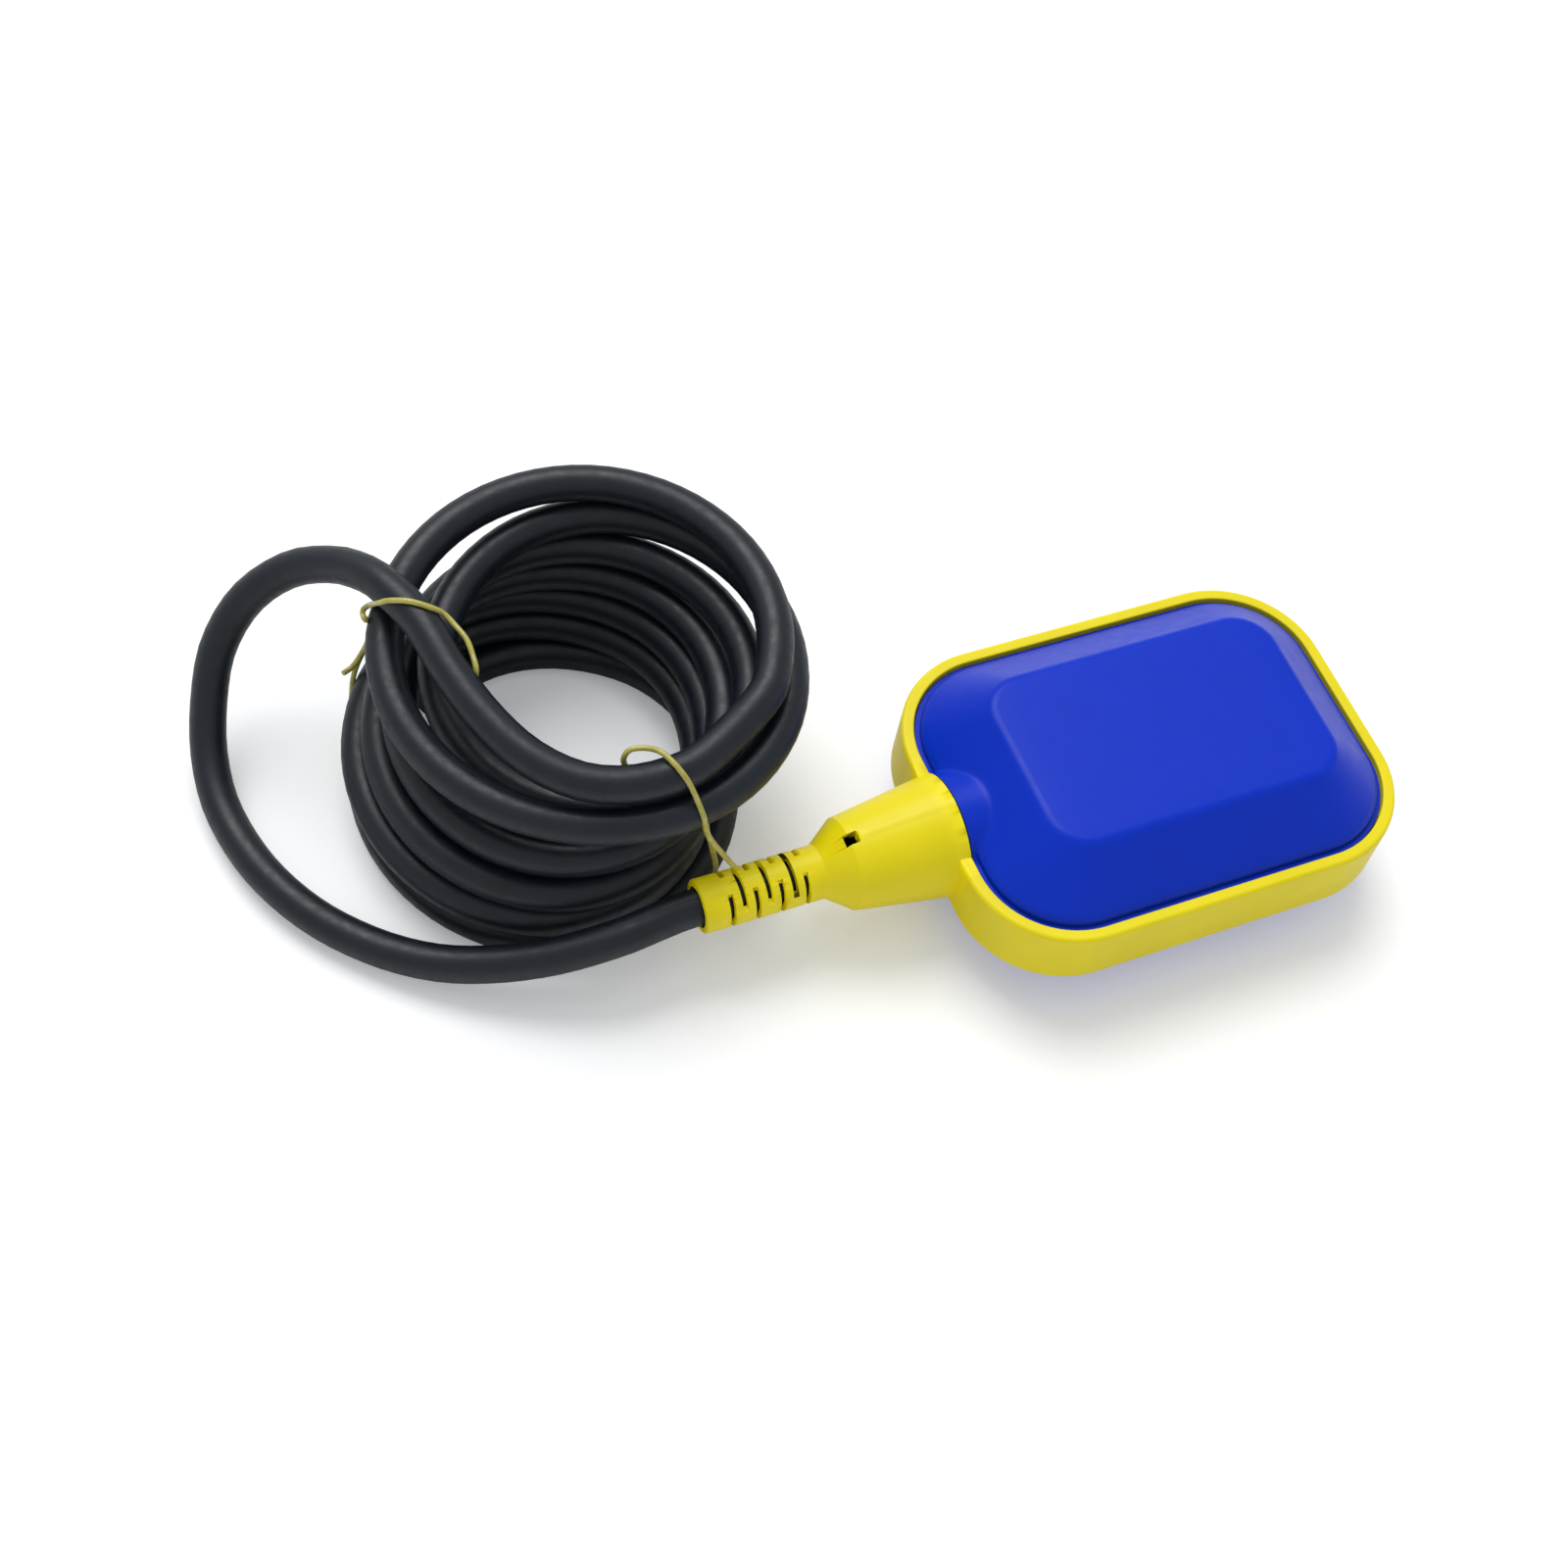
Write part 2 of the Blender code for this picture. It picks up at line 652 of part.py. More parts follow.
def chamber_cup(name, end_z, rim_z):
    """An open box of the chamber's outline, closed at end_z and open at rim_z."""
    inward = CHAMBER_WALL if rim_z > end_z else -CHAMBER_WALL
    return loft(
        name,
        [
            (chamber_outline(CHAMBER_WALL), end_z + inward),
            (chamber_outline(CHAMBER_WALL), rim_z),
            (chamber_outline(), rim_z),
            (chamber_outline(), end_z),
        ],
    )


def boss_places():
    """The four corners of the chamber where screws go."""
    return [(sx * BOSS_X, sy * BOSS_Y) for sx in (-1, 1) for sy in (-1, 1)]


def fixing_heights():
    """The heights of the two pins that hold the small switch."""
    first = SWITCH_BOTTOM + FIXING_FROM_END
    return (first, first + FIXING_SPACING)


def chamber_inside(home, parent):
    """The ball's channel, the cradle of the switch and lever, and the bosses, as one helper."""
    shape = bmesh.new()
    root = CHAMBER_FLOOR - OVERLAP
    channel = BALL_RADIUS + GAP
    rib_end = CHAMBER_END_X + OVERLAP
    cradle_top = fixing_heights()[1] + CRADLE_MARGIN
    for side in (-1, 1):
        near, far = sorted((side * channel, side * (channel + RIB_THICKNESS)))
        add_box(shape, (CRADLE_FRONT_X, near, root), (rib_end, far, CHAMBER_FLOOR + RIB_HEIGHT))
        near, far = sorted((side * CRADLE_INNER, side * CRADLE_OUTER))
        add_box(shape, (FIXING_X - CRADLE_MARGIN, near, root), (CRADLE_FRONT_X, far, cradle_top))
    for x, y in boss_places():
        add_rod(shape, (x, y, root), (x, y, CHAMBER_SPLIT), BOSS_RADIUS)
    return cutter("chamber_inside", shape, home, parent)


def chamber_holes(home, parent):
    """Holes for the lever's pin, the switch's pins, the grommet and the screws."""
    shape = bmesh.new()
    reach = CRADLE_OUTER + OVERLAP
    add_rod(shape, (PIVOT_X, -reach, PIVOT_Z), (PIVOT_X, reach, PIVOT_Z), PIN_RADIUS + PIN_CLEARANCE)
    for z in fixing_heights():
        add_rod(shape, (FIXING_X, -reach, z), (FIXING_X, reach, z), FIXING_RADIUS + PIN_CLEARANCE)
    outside = (-CHAMBER_LENGTH / 2 - OVERLAP, 0, 0)
    inside = (-CHAMBER_END_X + OVERLAP, 0, 0)
    add_rod(shape, outside, inside, GROMMET_RADIUS + GAP, RING_STEPS)
    screw_end = SCREW_HEAD_Z - SCREW_LENGTH - OVERLAP
    for x, y in boss_places():
        add_rod(shape, (x, y, screw_end), (x, y, CHAMBER_SPLIT + OVERLAP), SCREW_HOLE_RADIUS)
    return cutter("chamber_holes", shape, home, parent)


def build_chamber_base(parts, cutters, parent, finish):
    """The lower half of the chamber, with the ball's channel, the switch cradle and four bosses."""
    cup = chamber_cup("chamber_base", -CHAMBER_TOP, CHAMBER_SPLIT)
    base = place("chamber_base", cup, parts, finish, parent)
    boolean(base, chamber_inside(cutters, parent), "UNION")
    boolean(base, chamber_holes(cutters, parent), "DIFFERENCE")


def build_chamber_lid(parts, cutters, parent, finish):
    """The upper half of the chamber, with four sunk screw holes."""
    cup = chamber_cup("chamber_lid", CHAMBER_TOP, LID_BOTTOM)
    lid = place("chamber_lid", cup, parts, finish, parent)
    bosses = bmesh.new()
    holes = bmesh.new()
    sinks = bmesh.new()
    seat = SCREW_HEAD_Z - GAP
    sink_radius = SCREW_HEAD_RADIUS + SCREW_CLEARANCE
    for x, y in boss_places():
        add_rod(bosses, (x, y, LID_BOTTOM), (x, y, CHAMBER_TOP - CHAMBER_WALL / 2), BOSS_RADIUS)
        add_rod(holes, (x, y, LID_BOTTOM - OVERLAP), (x, y, seat + GAP / 2), SCREW_HOLE_RADIUS)
        add_rod(sinks, (x, y, seat), (x, y, CHAMBER_TOP + OVERLAP), sink_radius)
    boolean(lid, cutter("lid_bosses", bosses, cutters, parent), "UNION")
    boolean(lid, cutter("lid_holes", holes, cutters, parent), "DIFFERENCE")
    boolean(lid, cutter("lid_sinks", sinks, cutters, parent), "DIFFERENCE")


def build_chamber_seal(parts, parent, finish):
    """The flat gasket between the two halves of the chamber."""
    low = CHAMBER_SPLIT + GAP
    high = low + SEAL_THICKNESS
    sections = [
        (chamber_outline(), low),
        (chamber_outline(), high),
        (chamber_outline(CHAMBER_WALL), high),
        (chamber_outline(CHAMBER_WALL), low),
    ]
    place("chamber_seal", loft("chamber_seal", sections, closed=True), parts, finish, parent)


def build_lid_screws(parts, parent, finish):
    """Four screws that hold the lid to the base."""
    profile = (
        (SCREW_HEAD_HEIGHT, 0.0),
        (SCREW_HEAD_HEIGHT, SCREW_HEAD_RADIUS),
        (0.0, SCREW_HEAD_RADIUS),
        (0.0, SCREW_RADIUS),
        (-SCREW_LENGTH, SCREW_RADIUS),
        (-SCREW_LENGTH, 0.0),
    )
    for number, (x, y) in enumerate(boss_places(), 1):
        name = f"lid_screw_{number}"
        screw = place(name, turned(name, profile, PIN_STEPS, axis="Z"), parts, finish, parent)
        screw.location = (x, y, SCREW_HEAD_Z)


def build_ball(parts, parent, finish):
    """The steel ball at its rest, against the far end of the chamber."""
    shape = bmesh.new()
    bmesh.ops.create_uvsphere(
        shape, u_segments=RING_STEPS, v_segments=RING_STEPS // 2, radius=BALL_RADIUS
    )
    ball = place("steel_ball", mesh_of("steel_ball", shape), parts, finish, parent)
    ball.location = (BALL_X, 0.0, BALL_Z)


def lever_angle():
    """The angle at which the lever's arm rests just clear of the ball."""
    run = BALL_X - PIVOT_X
    distance = math.hypot(run, PIVOT_ABOVE_BALL)
    return math.asin((BALL_RADIUS + GAP) / distance) - math.atan2(PIVOT_ABOVE_BALL, run)


def build_lever(parts, cutters, parent, finish):
    """The bell crank: a long arm over the ball and a short finger at the plunger."""
    pivot = bpy.data.objects.new("lever_pivot", None)
    cutters.objects.link(pivot)
    pivot.parent = parent
    pivot.location = (PIVOT_X, 0.0, PIVOT_Z)
    half = HUB_WIDTH / 2
    hub = bmesh.new()
    add_rod(hub, (0, -half, 0), (0, half, 0), HUB_RADIUS)
    lever = place("rocker_lever", mesh_of("rocker_lever", hub), parts, finish, pivot)
    arm = bmesh.new()
    corners = add_box(arm, (0, -half, 0), (LEVER_REACH, half, LEVER_THICKNESS))
    bmesh.ops.rotate(arm, verts=corners, matrix=Matrix.Rotation(-lever_angle(), 3, "Y"))
    boolean(lever, cutter("lever_arm", arm, cutters, pivot), "UNION")
    finger = bmesh.new()
    finger_half = half - GAP
    low = (-FINGER_OFFSET, -finger_half, 0)
    add_box(finger, low, (-FINGER_OFFSET + FINGER_THICKNESS, finger_half, FINGER_HEIGHT))
    boolean(lever, cutter("lever_finger", finger, cutters, pivot), "UNION")
    bore = bmesh.new()
    reach = half + OVERLAP
    add_rod(bore, (0, -reach, 0), (0, reach, 0), PIN_RADIUS + PIN_CLEARANCE)
    boolean(lever, cutter("lever_bore", bore, cutters, pivot), "DIFFERENCE")


def build_rod(name, start, end, radius, parts, parent, finish):
    """A plain pin between two points."""
    shape = bmesh.new()
    add_rod(shape, start, end, radius)
    return place(name, mesh_of(name, shape), parts, finish, parent)


def build_pins(parts, parent, finish):
    """The lever's pin and the two pins of the small switch, in the cradle's holes."""
    pins = [("rocker_pin", PIVOT_X, PIVOT_Z, PIN_RADIUS)]
    for number, z in enumerate(fixing_heights(), 1):
        pins.append((f"switch_pin_{number}", FIXING_X, z, FIXING_RADIUS))
    for name, x, z, radius in pins:
        build_rod(name, (x, -CRADLE_OUTER, z), (x, CRADLE_OUTER, z), radius, parts, parent, finish)


def terminal_heights():
    """The heights of the three terminals."""
    first = SWITCH_BOTTOM + TERMINAL_FROM_END
    return [first + index * TERMINAL_PITCH for index in range(3)]


def switch_pockets(home, parent):
    """The plunger's guide and the terminals' seats, which are cut from the switch's case."""
    shape = bmesh.new()
    guide_end = (SWITCH_FRONT_X - PLUNGER_SEAT - PLUNGER_STROKE, PLUNGER_Y, PLUNGER_Z)
    guide_start = (SWITCH_FRONT_X + OVERLAP, PLUNGER_Y, PLUNGER_Z)
    add_rod(shape, guide_end, guide_start, PLUNGER_RADIUS + PLUNGER_CLEARANCE)
    half_tab = TERMINAL_THICKNESS / 2 + PLUNGER_CLEARANCE
    half_width = TERMINAL_WIDTH / 2 + PLUNGER_CLEARANCE
    seat_x = SWITCH_BACK_X + TERMINAL_SEAT + PLUNGER_CLEARANCE
    for z in terminal_heights():
        low = (SWITCH_BACK_X - OVERLAP, PLUNGER_Y - half_tab, z - half_width)
        add_box(shape, low, (seat_x, PLUNGER_Y + half_tab, z + half_width))
    return cutter("switch_pockets", shape, home, parent)


def build_switch_shell(parts, cutters, parent, finishes):
    """The small switch's case and its side cover."""
    top = SWITCH_BOTTOM + SWITCH_LENGTH
    shape = bmesh.new()
    low = (SWITCH_BACK_X, -SWITCH_SIDE, SWITCH_BOTTOM)
    add_box(shape, low, (SWITCH_FRONT_X, SWITCH_SPLIT_Y, top))
    case = place("switch_case", mesh_of("switch_case", shape), parts, finishes["case"], parent)
    shape = bmesh.new()
    low = (SWITCH_BACK_X, SWITCH_SPLIT_Y + GAP, SWITCH_BOTTOM)
    add_box(shape, low, (SWITCH_FRONT_X, SWITCH_SIDE, top))
    cover = place("switch_cover", mesh_of("switch_cover", shape), parts, finishes["cover"], parent)
    holes = bmesh.new()
    reach = SWITCH_SIDE + OVERLAP
    for z in fixing_heights():
        add_rod(holes, (FIXING_X, -reach, z), (FIXING_X, reach, z), FIXING_RADIUS + PIN_CLEARANCE)
    fixings = cutter("switch_fixings", holes, cutters, parent)
    boolean(case, fixings, "DIFFERENCE")
    boolean(cover, fixings, "DIFFERENCE")
    boolean(case, switch_pockets(cutters, parent), "DIFFERENCE")


def build_switch(parts, cutters, parent, finishes):
    """The small switch: case, cover, plunger and three terminals."""
    build_switch_shell(parts, cutters, parent, finishes)
    inner_end = (SWITCH_FRONT_X - PLUNGER_SEAT - PLUNGER_TIP_X, 0, 0)
    finish = finishes["plunger"]
    plunger = build_rod("switch_plunger", inner_end, (0, 0, 0), PLUNGER_RADIUS, parts, parent, finish)
    plunger.location = (PLUNGER_TIP_X, PLUNGER_Y, PLUNGER_Z)
    half_tab = TERMINAL_THICKNESS / 2
    half_width = TERMINAL_WIDTH / 2
    for label, z in zip(("common", "closed", "open"), terminal_heights()):
        tab = bmesh.new()
        low = (TERMINAL_END_X, PLUNGER_Y - half_tab, z - half_width)
        add_box(tab, low, (SWITCH_BACK_X + TERMINAL_SEAT, PLUNGER_Y + half_tab, z + half_width))
        name = f"terminal_{label}"
        place(name, mesh_of(name, tab), parts, finishes["terminal"], parent)


def build_cable_fittings(parts, parent, finishes):
    """The rubber seal and its ring in the neck, and the grommet in the chamber's wall."""
    bore = CABLE_RADIUS + GAP
    seal_start = NECK_END_X + SEAL_FROM_SHOULDER
    seal_end = seal_start + SEAL_LENGTH
    ring_start = seal_end + GAP
    ring_end = ring_start + RING_LENGTH
    for name, low, high in (
        ("cable_seal", seal_start, seal_end),
        ("gland_ring", ring_start, ring_end),
    ):
        profile = (
            (high, bore),
            (high, cavity_radius(high) - GAP),
            (low, cavity_radius(low) - GAP),
            (low, bore),
        )
        place(name, turned(name, profile, RING_STEPS), parts, finishes[name], parent)
    wall = -CHAMBER_LENGTH / 2
    inner = -CHAMBER_END_X
    flange = GROMMET_RADIUS + GROMMET_FLANGE
    inner_flange = GROMMET_RADIUS + GROMMET_INNER_LIP
    profile = (
        (inner + GAP + GROMMET_LIP, GROMMET_BORE),
        (inner + GAP + GROMMET_LIP, inner_flange),
        (inner + GAP, inner_flange),
        (inner + GAP, GROMMET_RADIUS),
        (wall - GAP, GROMMET_RADIUS),
        (wall - GAP, flange),
        (wall - GAP - GROMMET_LIP, flange),
        (wall - GAP - GROMMET_LIP, GROMMET_BORE),
    )
    mesh = turned("cable_grommet", profile, RING_STEPS)
    place("cable_grommet", mesh, parts, finishes["cable_seal"], parent)


def build_cores(parts, parent, finishes):
    """Three cores from the end of the cable's jacket, through the grommet, to the terminals."""
    start_x = -JACKET_END + GAP
    straight_x = -CHAMBER_END_X + GROMMET_LIP + 2 * GAP
    end_x = TERMINAL_END_X - GAP
    for (label, angle), z in zip(CORE_ANGLES.items(), terminal_heights()):
        turn = math.radians(angle)
        y_start = BUNDLE_RADIUS * math.cos(turn)
        z_start = BUNDLE_RADIUS * math.sin(turn)
        points = [
            Vector((start_x, y_start, z_start)),
            Vector(((start_x + straight_x) / 2, y_start, z_start)),
            Vector((straight_x, y_start, z_start)),
            Vector(((straight_x + end_x) / 2, (y_start + PLUNGER_Y) / 2, (z_start + z) / 2)),
            Vector((end_x - 2 * CORE_RADIUS, PLUNGER_Y, z)),
            Vector((end_x - CORE_RADIUS, PLUNGER_Y, z)),
            Vector((end_x, PLUNGER_Y, z)),
        ]
        route = smooth_route(points, CORE_SPACING)
        tube(f"core_{label}", route, CORE_RADIUS, parts, finishes[label], parent)


def top_turn():
    """The cable's middle line round the coil's top, which widens and falls a little as it goes."""
    points = []
    for step in range(TOP_TURN_POINTS):
        share = step / (TOP_TURN_POINTS - 1)
        turn = math.radians(TOP_TURN_START + (TOP_TURN_END - TOP_TURN_START) * share)
        radius = TOP_TURN_RADIUS + TOP_TURN_SPREAD * share**3
        x = TOP_TURN_CENTRE[0] + radius * math.cos(turn)
        y = TOP_TURN_CENTRE[1] + radius * math.sin(turn)
        points.append(Vector((x, y, TOP_TURN_HEIGHT - TOP_TURN_FALL * share)))
    return points


def cable_points():
    """The cable's middle line from inside the neck, round the loop and once round the coil's top."""
    inside = [Vector((x + BODY_X, 0.0, MID_HEIGHT)) for x in (-JACKET_END, NECK_END_X, TAIL_END_X)]
    return inside + in_metres(CABLE_ROUTE) + top_turn()


def build_cable(parts, finish):
    """The loose stretch of cable as a tube, and the turns under it as one leaning ring."""
    route = smooth_route(cable_points(), CABLE_SPACING)
    tube("cable_run", route, CABLE_RADIUS, parts, finish, resolution=3)
    top = COIL_LIFT + COIL_HEIGHT
    section = fillet(
        (
            (COIL_LIFT, COIL_OUTER, COIL_ROUND),
            (top, COIL_OUTER, COIL_ROUND),
            (top, COIL_INNER, COIL_ROUND),
            (COIL_LIFT, COIL_INNER, COIL_ROUND),
        )
    )
    mesh = turned("cable_coil", section, COIL_STEPS, axis="Z")
    for vertex in mesh.vertices:
        share = vertex.co.z / COIL_HEIGHT
        vertex.co.x += COIL_LEAN[0] * share
        vertex.co.y += COIL_LEAN[1] * share
    coil = place("cable_coil", mesh, parts, finish)
    coil.location = (*COIL_CENTRE, 0.0)


def around_coil(stations):
    """Points from (angle, radius, height) stations about the coil's leaning middle line."""
    points = []
    for angle, radius, height in stations:
        turn = math.radians(angle)
        share = height * MM / COIL_HEIGHT
        x = COIL_CENTRE[0] + COIL_LEAN[0] * share + radius * MM * math.cos(turn)
        y = COIL_CENTRE[1] + COIL_LEAN[1] * share + radius * MM * math.sin(turn)
        points.append(Vector((x, y, height * MM)))
    return points


def under_coil(outer_angle, inner_angle):
    """Stations of a tie from the coil's outer side, under it and up its inner side."""
    return [
        (outer_angle, TIE_OUTSIDE, 17.0),
        (outer_angle, TIE_OUTSIDE, 6.0),
        (outer_angle, TIE_OUTSIDE - 2.0, TIE_UNDER + 0.4),
        ((outer_angle + inner_angle) / 2, (TIE_OUTSIDE + TIE_INSIDE) / 2, TIE_UNDER),
        (inner_angle, TIE_INSIDE + 2.0, TIE_UNDER + 0.4),
        (inner_angle, TIE_INSIDE, 6.0),
        (inner_angle, TIE_INSIDE, 17.0),
        (inner_angle, TIE_INSIDE, 26.0),
    ]


def left_tie():
    """The tie at the left, over the loop where it climbs onto the coil."""
    return [
        (160.5, 54.2, 33.4),
        (159.4, 50.5, 32.0),
        (159.3, 48.7, 27.8),
        *under_coil(159.0, 176.0),
        (177.9, 31.5, 35.4),
        (179.5, 26.3, 42.2),
        (180.2, 25.6, 49.2),
        (177.8, 27.9, 56.9),
        (171.4, 33.3, 61.4),
        (166.4, 38.5, 62.6),
        (163.0, 43.2, 62.2),
        (160.0, 47.8, 58.9),
        (156.8, 50.1, 52.0),
        (154.2, 49.8, 44.3),
        (153.7, 48.8, 37.1),
        (154.7, TIE_OUTSIDE, 28.7),
    ]


def right_tie():
    """The tie at the right, over the top turn, with its ends twisted behind the tail."""
    return [
        (-70.6, 47.8, 29.3),
        (-69.7, 48.1, 26.1),
        (-67.2, 49.9, 22.0),
        *under_coil(-68.0, -91.0),
        (-92.0, 31.0, 34.5),
        (-92.3, 28.2, 39.6),
        (-91.4, 29.0, 45.7),
        (-88.1, 34.0, 50.7),
        (-83.7, 39.0, 50.7),
        (-80.2, 42.9, 47.3),
        (-78.2, 45.0, 42.1),
        (-76.4, 46.9, 37.1),
        (-73.8, TIE_OUTSIDE, 29.5),
        (-73.0, TIE_OUTSIDE, 22.8),
        (-72.7, TIE_OUTSIDE, 18.6),
    ]


def build_ties(parts, finish):
    """Two plastic-coated wires that hold the coil together."""
    for name, stations in (("wire_tie_left", left_tie()), ("wire_tie_right", right_tie())):
        points = smooth_route(around_coil(stations), TIE_SPACING)
        tube(name, points, TIE_RADIUS, parts, finish)


def build_float():
    """Builds the whole float switch."""
    clear_scene()
    parts = collection("cable_float_switch")
    cutters = collection("cutters", hidden=True)
    centre = bpy.data.objects.new("float_centre", None)
    parts.objects.link(centre)
    centre.location = (BODY_X, 0.0, MID_HEIGHT)
    yellow = material("yellow_plastic", (232, 218, 10), 0.42)
    blue = material("blue_plastic", (22, 56, 190), 0.36)
    white = material("white_plastic", (226, 226, 218), 0.45)
    steel = material("steel", (200, 202, 205), 0.22, 1.0)
    rubber = material("black_rubber", (34, 36, 40), 0.6)
    jacket = material("cable_jacket", (46, 53, 61), 0.55)
    brass = material("brass", (196, 162, 88), 0.3, 1.0)
    build_frame(parts, cutters, centre, yellow)
    build_cover("upper_cover", 1, parts, cutters, centre, blue)
    build_cover("lower_cover", -1, parts, cutters, centre, blue)
    build_chamber_base(parts, cutters, centre, white)
    build_chamber_lid(parts, cutters, centre, white)
    build_chamber_seal(parts, centre, rubber)
    build_lid_screws(parts, centre, steel)
    build_ball(parts, centre, steel)
    build_lever(parts, cutters, centre, material("lever_plastic", (240, 240, 236), 0.4))
    build_pins(parts, centre, steel)
    build_switch(
        parts,
        cutters,
        centre,
        {
            "case": material("switch_black", (28, 28, 30), 0.5),
            "cover": material("switch_red", (150, 30, 26), 0.5),
            "plunger": material("plunger_red", (190, 40, 34), 0.4),
            "terminal": brass,
        },
    )
    build_cable_fittings(parts, centre, {"cable_seal": rubber, "gland_ring": white})
    build_cores(
        parts,
        centre,
        {
            "brown": material("core_brown", (98, 58, 34), 0.5),
            "blue": material("core_blue", (38, 92, 190), 0.5),
            "black": material("core_black", (30, 30, 32), 0.5),
        },
    )
    build_cable(parts, jacket)
    build_ties(parts, material("tie_wire", (196, 190, 96), 0.45))


build_float()
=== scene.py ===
"""Cable float switch: a rounded blue and yellow float with a slotted bend relief and a tied coil of cable.

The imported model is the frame. The yellow moulding, the two blue covers, the cable and its wire ties
are built here in finer meshes and stand for their solids. The switch chamber and what it holds keep
their solids and get their finishes here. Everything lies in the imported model's own axes. Sizes are
in metres, but for the points of the cable and of its ties, which are in millimetres.
"""

import json
import logging
import math
from dataclasses import dataclass, field
from enum import Enum
from typing import TypeVar

import bmesh
import bpy
from mathutils import Matrix, Vector


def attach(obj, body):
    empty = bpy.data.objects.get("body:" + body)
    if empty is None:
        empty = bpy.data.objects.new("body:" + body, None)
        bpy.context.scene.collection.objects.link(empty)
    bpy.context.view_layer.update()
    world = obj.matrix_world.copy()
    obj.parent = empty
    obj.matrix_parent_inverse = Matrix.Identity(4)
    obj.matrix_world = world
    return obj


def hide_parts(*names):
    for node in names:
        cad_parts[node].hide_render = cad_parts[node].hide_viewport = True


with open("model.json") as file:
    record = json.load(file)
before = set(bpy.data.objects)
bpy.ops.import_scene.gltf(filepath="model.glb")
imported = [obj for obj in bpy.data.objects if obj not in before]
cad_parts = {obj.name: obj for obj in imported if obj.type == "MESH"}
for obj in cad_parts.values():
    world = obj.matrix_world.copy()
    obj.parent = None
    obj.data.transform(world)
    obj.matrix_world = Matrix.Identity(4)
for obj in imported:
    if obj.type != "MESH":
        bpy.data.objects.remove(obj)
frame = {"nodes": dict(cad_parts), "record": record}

MM = 0.001
MIDDLE = Vector((28.9, 0.0, 20.75)) * MM
COOL_WHITE = (0.97, 0.985, 1.0, 1.0)
LOG = logging.getLogger("cable_float_switch")

# How far a cutter reaches past what it cuts
OVERREACH = 1.0 * MM
# Edges sharper than this many degrees stay hard
SHARP_EDGE = 35.0
SHARP_CUT = 32.0
# Where most of a noise's values lie
NOISE_MIDDLE = (0.3, 0.7)
# Steps between two given points of a smooth curve
CURVE_STEPS = 24

Outline = list[tuple[float, float]]
Colour = tuple[int, int, int]
Rgba = tuple[float, float, float, float]
Point = tuple[float, float, float]
Socket = bpy.types.NodeSocket
Spot = TypeVar("Spot", float, Vector)


class Side(Enum):
    """Which of the two covers a shell is."""

    UPPER = 1
    LOWER = -1


class Slot(Enum):
    """The record's material slots."""

    YELLOW_PLASTIC = "yellow_plastic"
    BLUE_PLASTIC = "blue_plastic"
    CABLE_JACKET = "cable_jacket"
    BLACK_RUBBER = "black_rubber"
    WHITE_PLASTIC = "white_plastic"
    LEVER_PLASTIC = "lever_plastic"
    STEEL = "steel"
    BRASS = "brass"
    SWITCH_BLACK = "switch_black"
    SWITCH_RED = "switch_red"
    PLUNGER_RED = "plunger_red"
    CORE_BROWN = "core_brown"
    CORE_BLUE = "core_blue"
    CORE_BLACK = "core_black"
    TIE_WIRE = "tie_wire"


# Finishes


def linear(channel: float) -> float:
    """The linear value of one sRGB channel from 0 to 255."""
    value = channel / 255
    return value / 12.92 if value <= 0.04045 else ((value + 0.055) / 1.055) ** 2.4


def shade(colour: Colour, gain: float = 1.0) -> Rgba:
    """A linear colour with alpha from an sRGB one, made lighter or darker by gain."""
    red, green, blue = (min(1.0, linear(channel) * gain) for channel in colour)
    return (red, green, blue, 1.0)


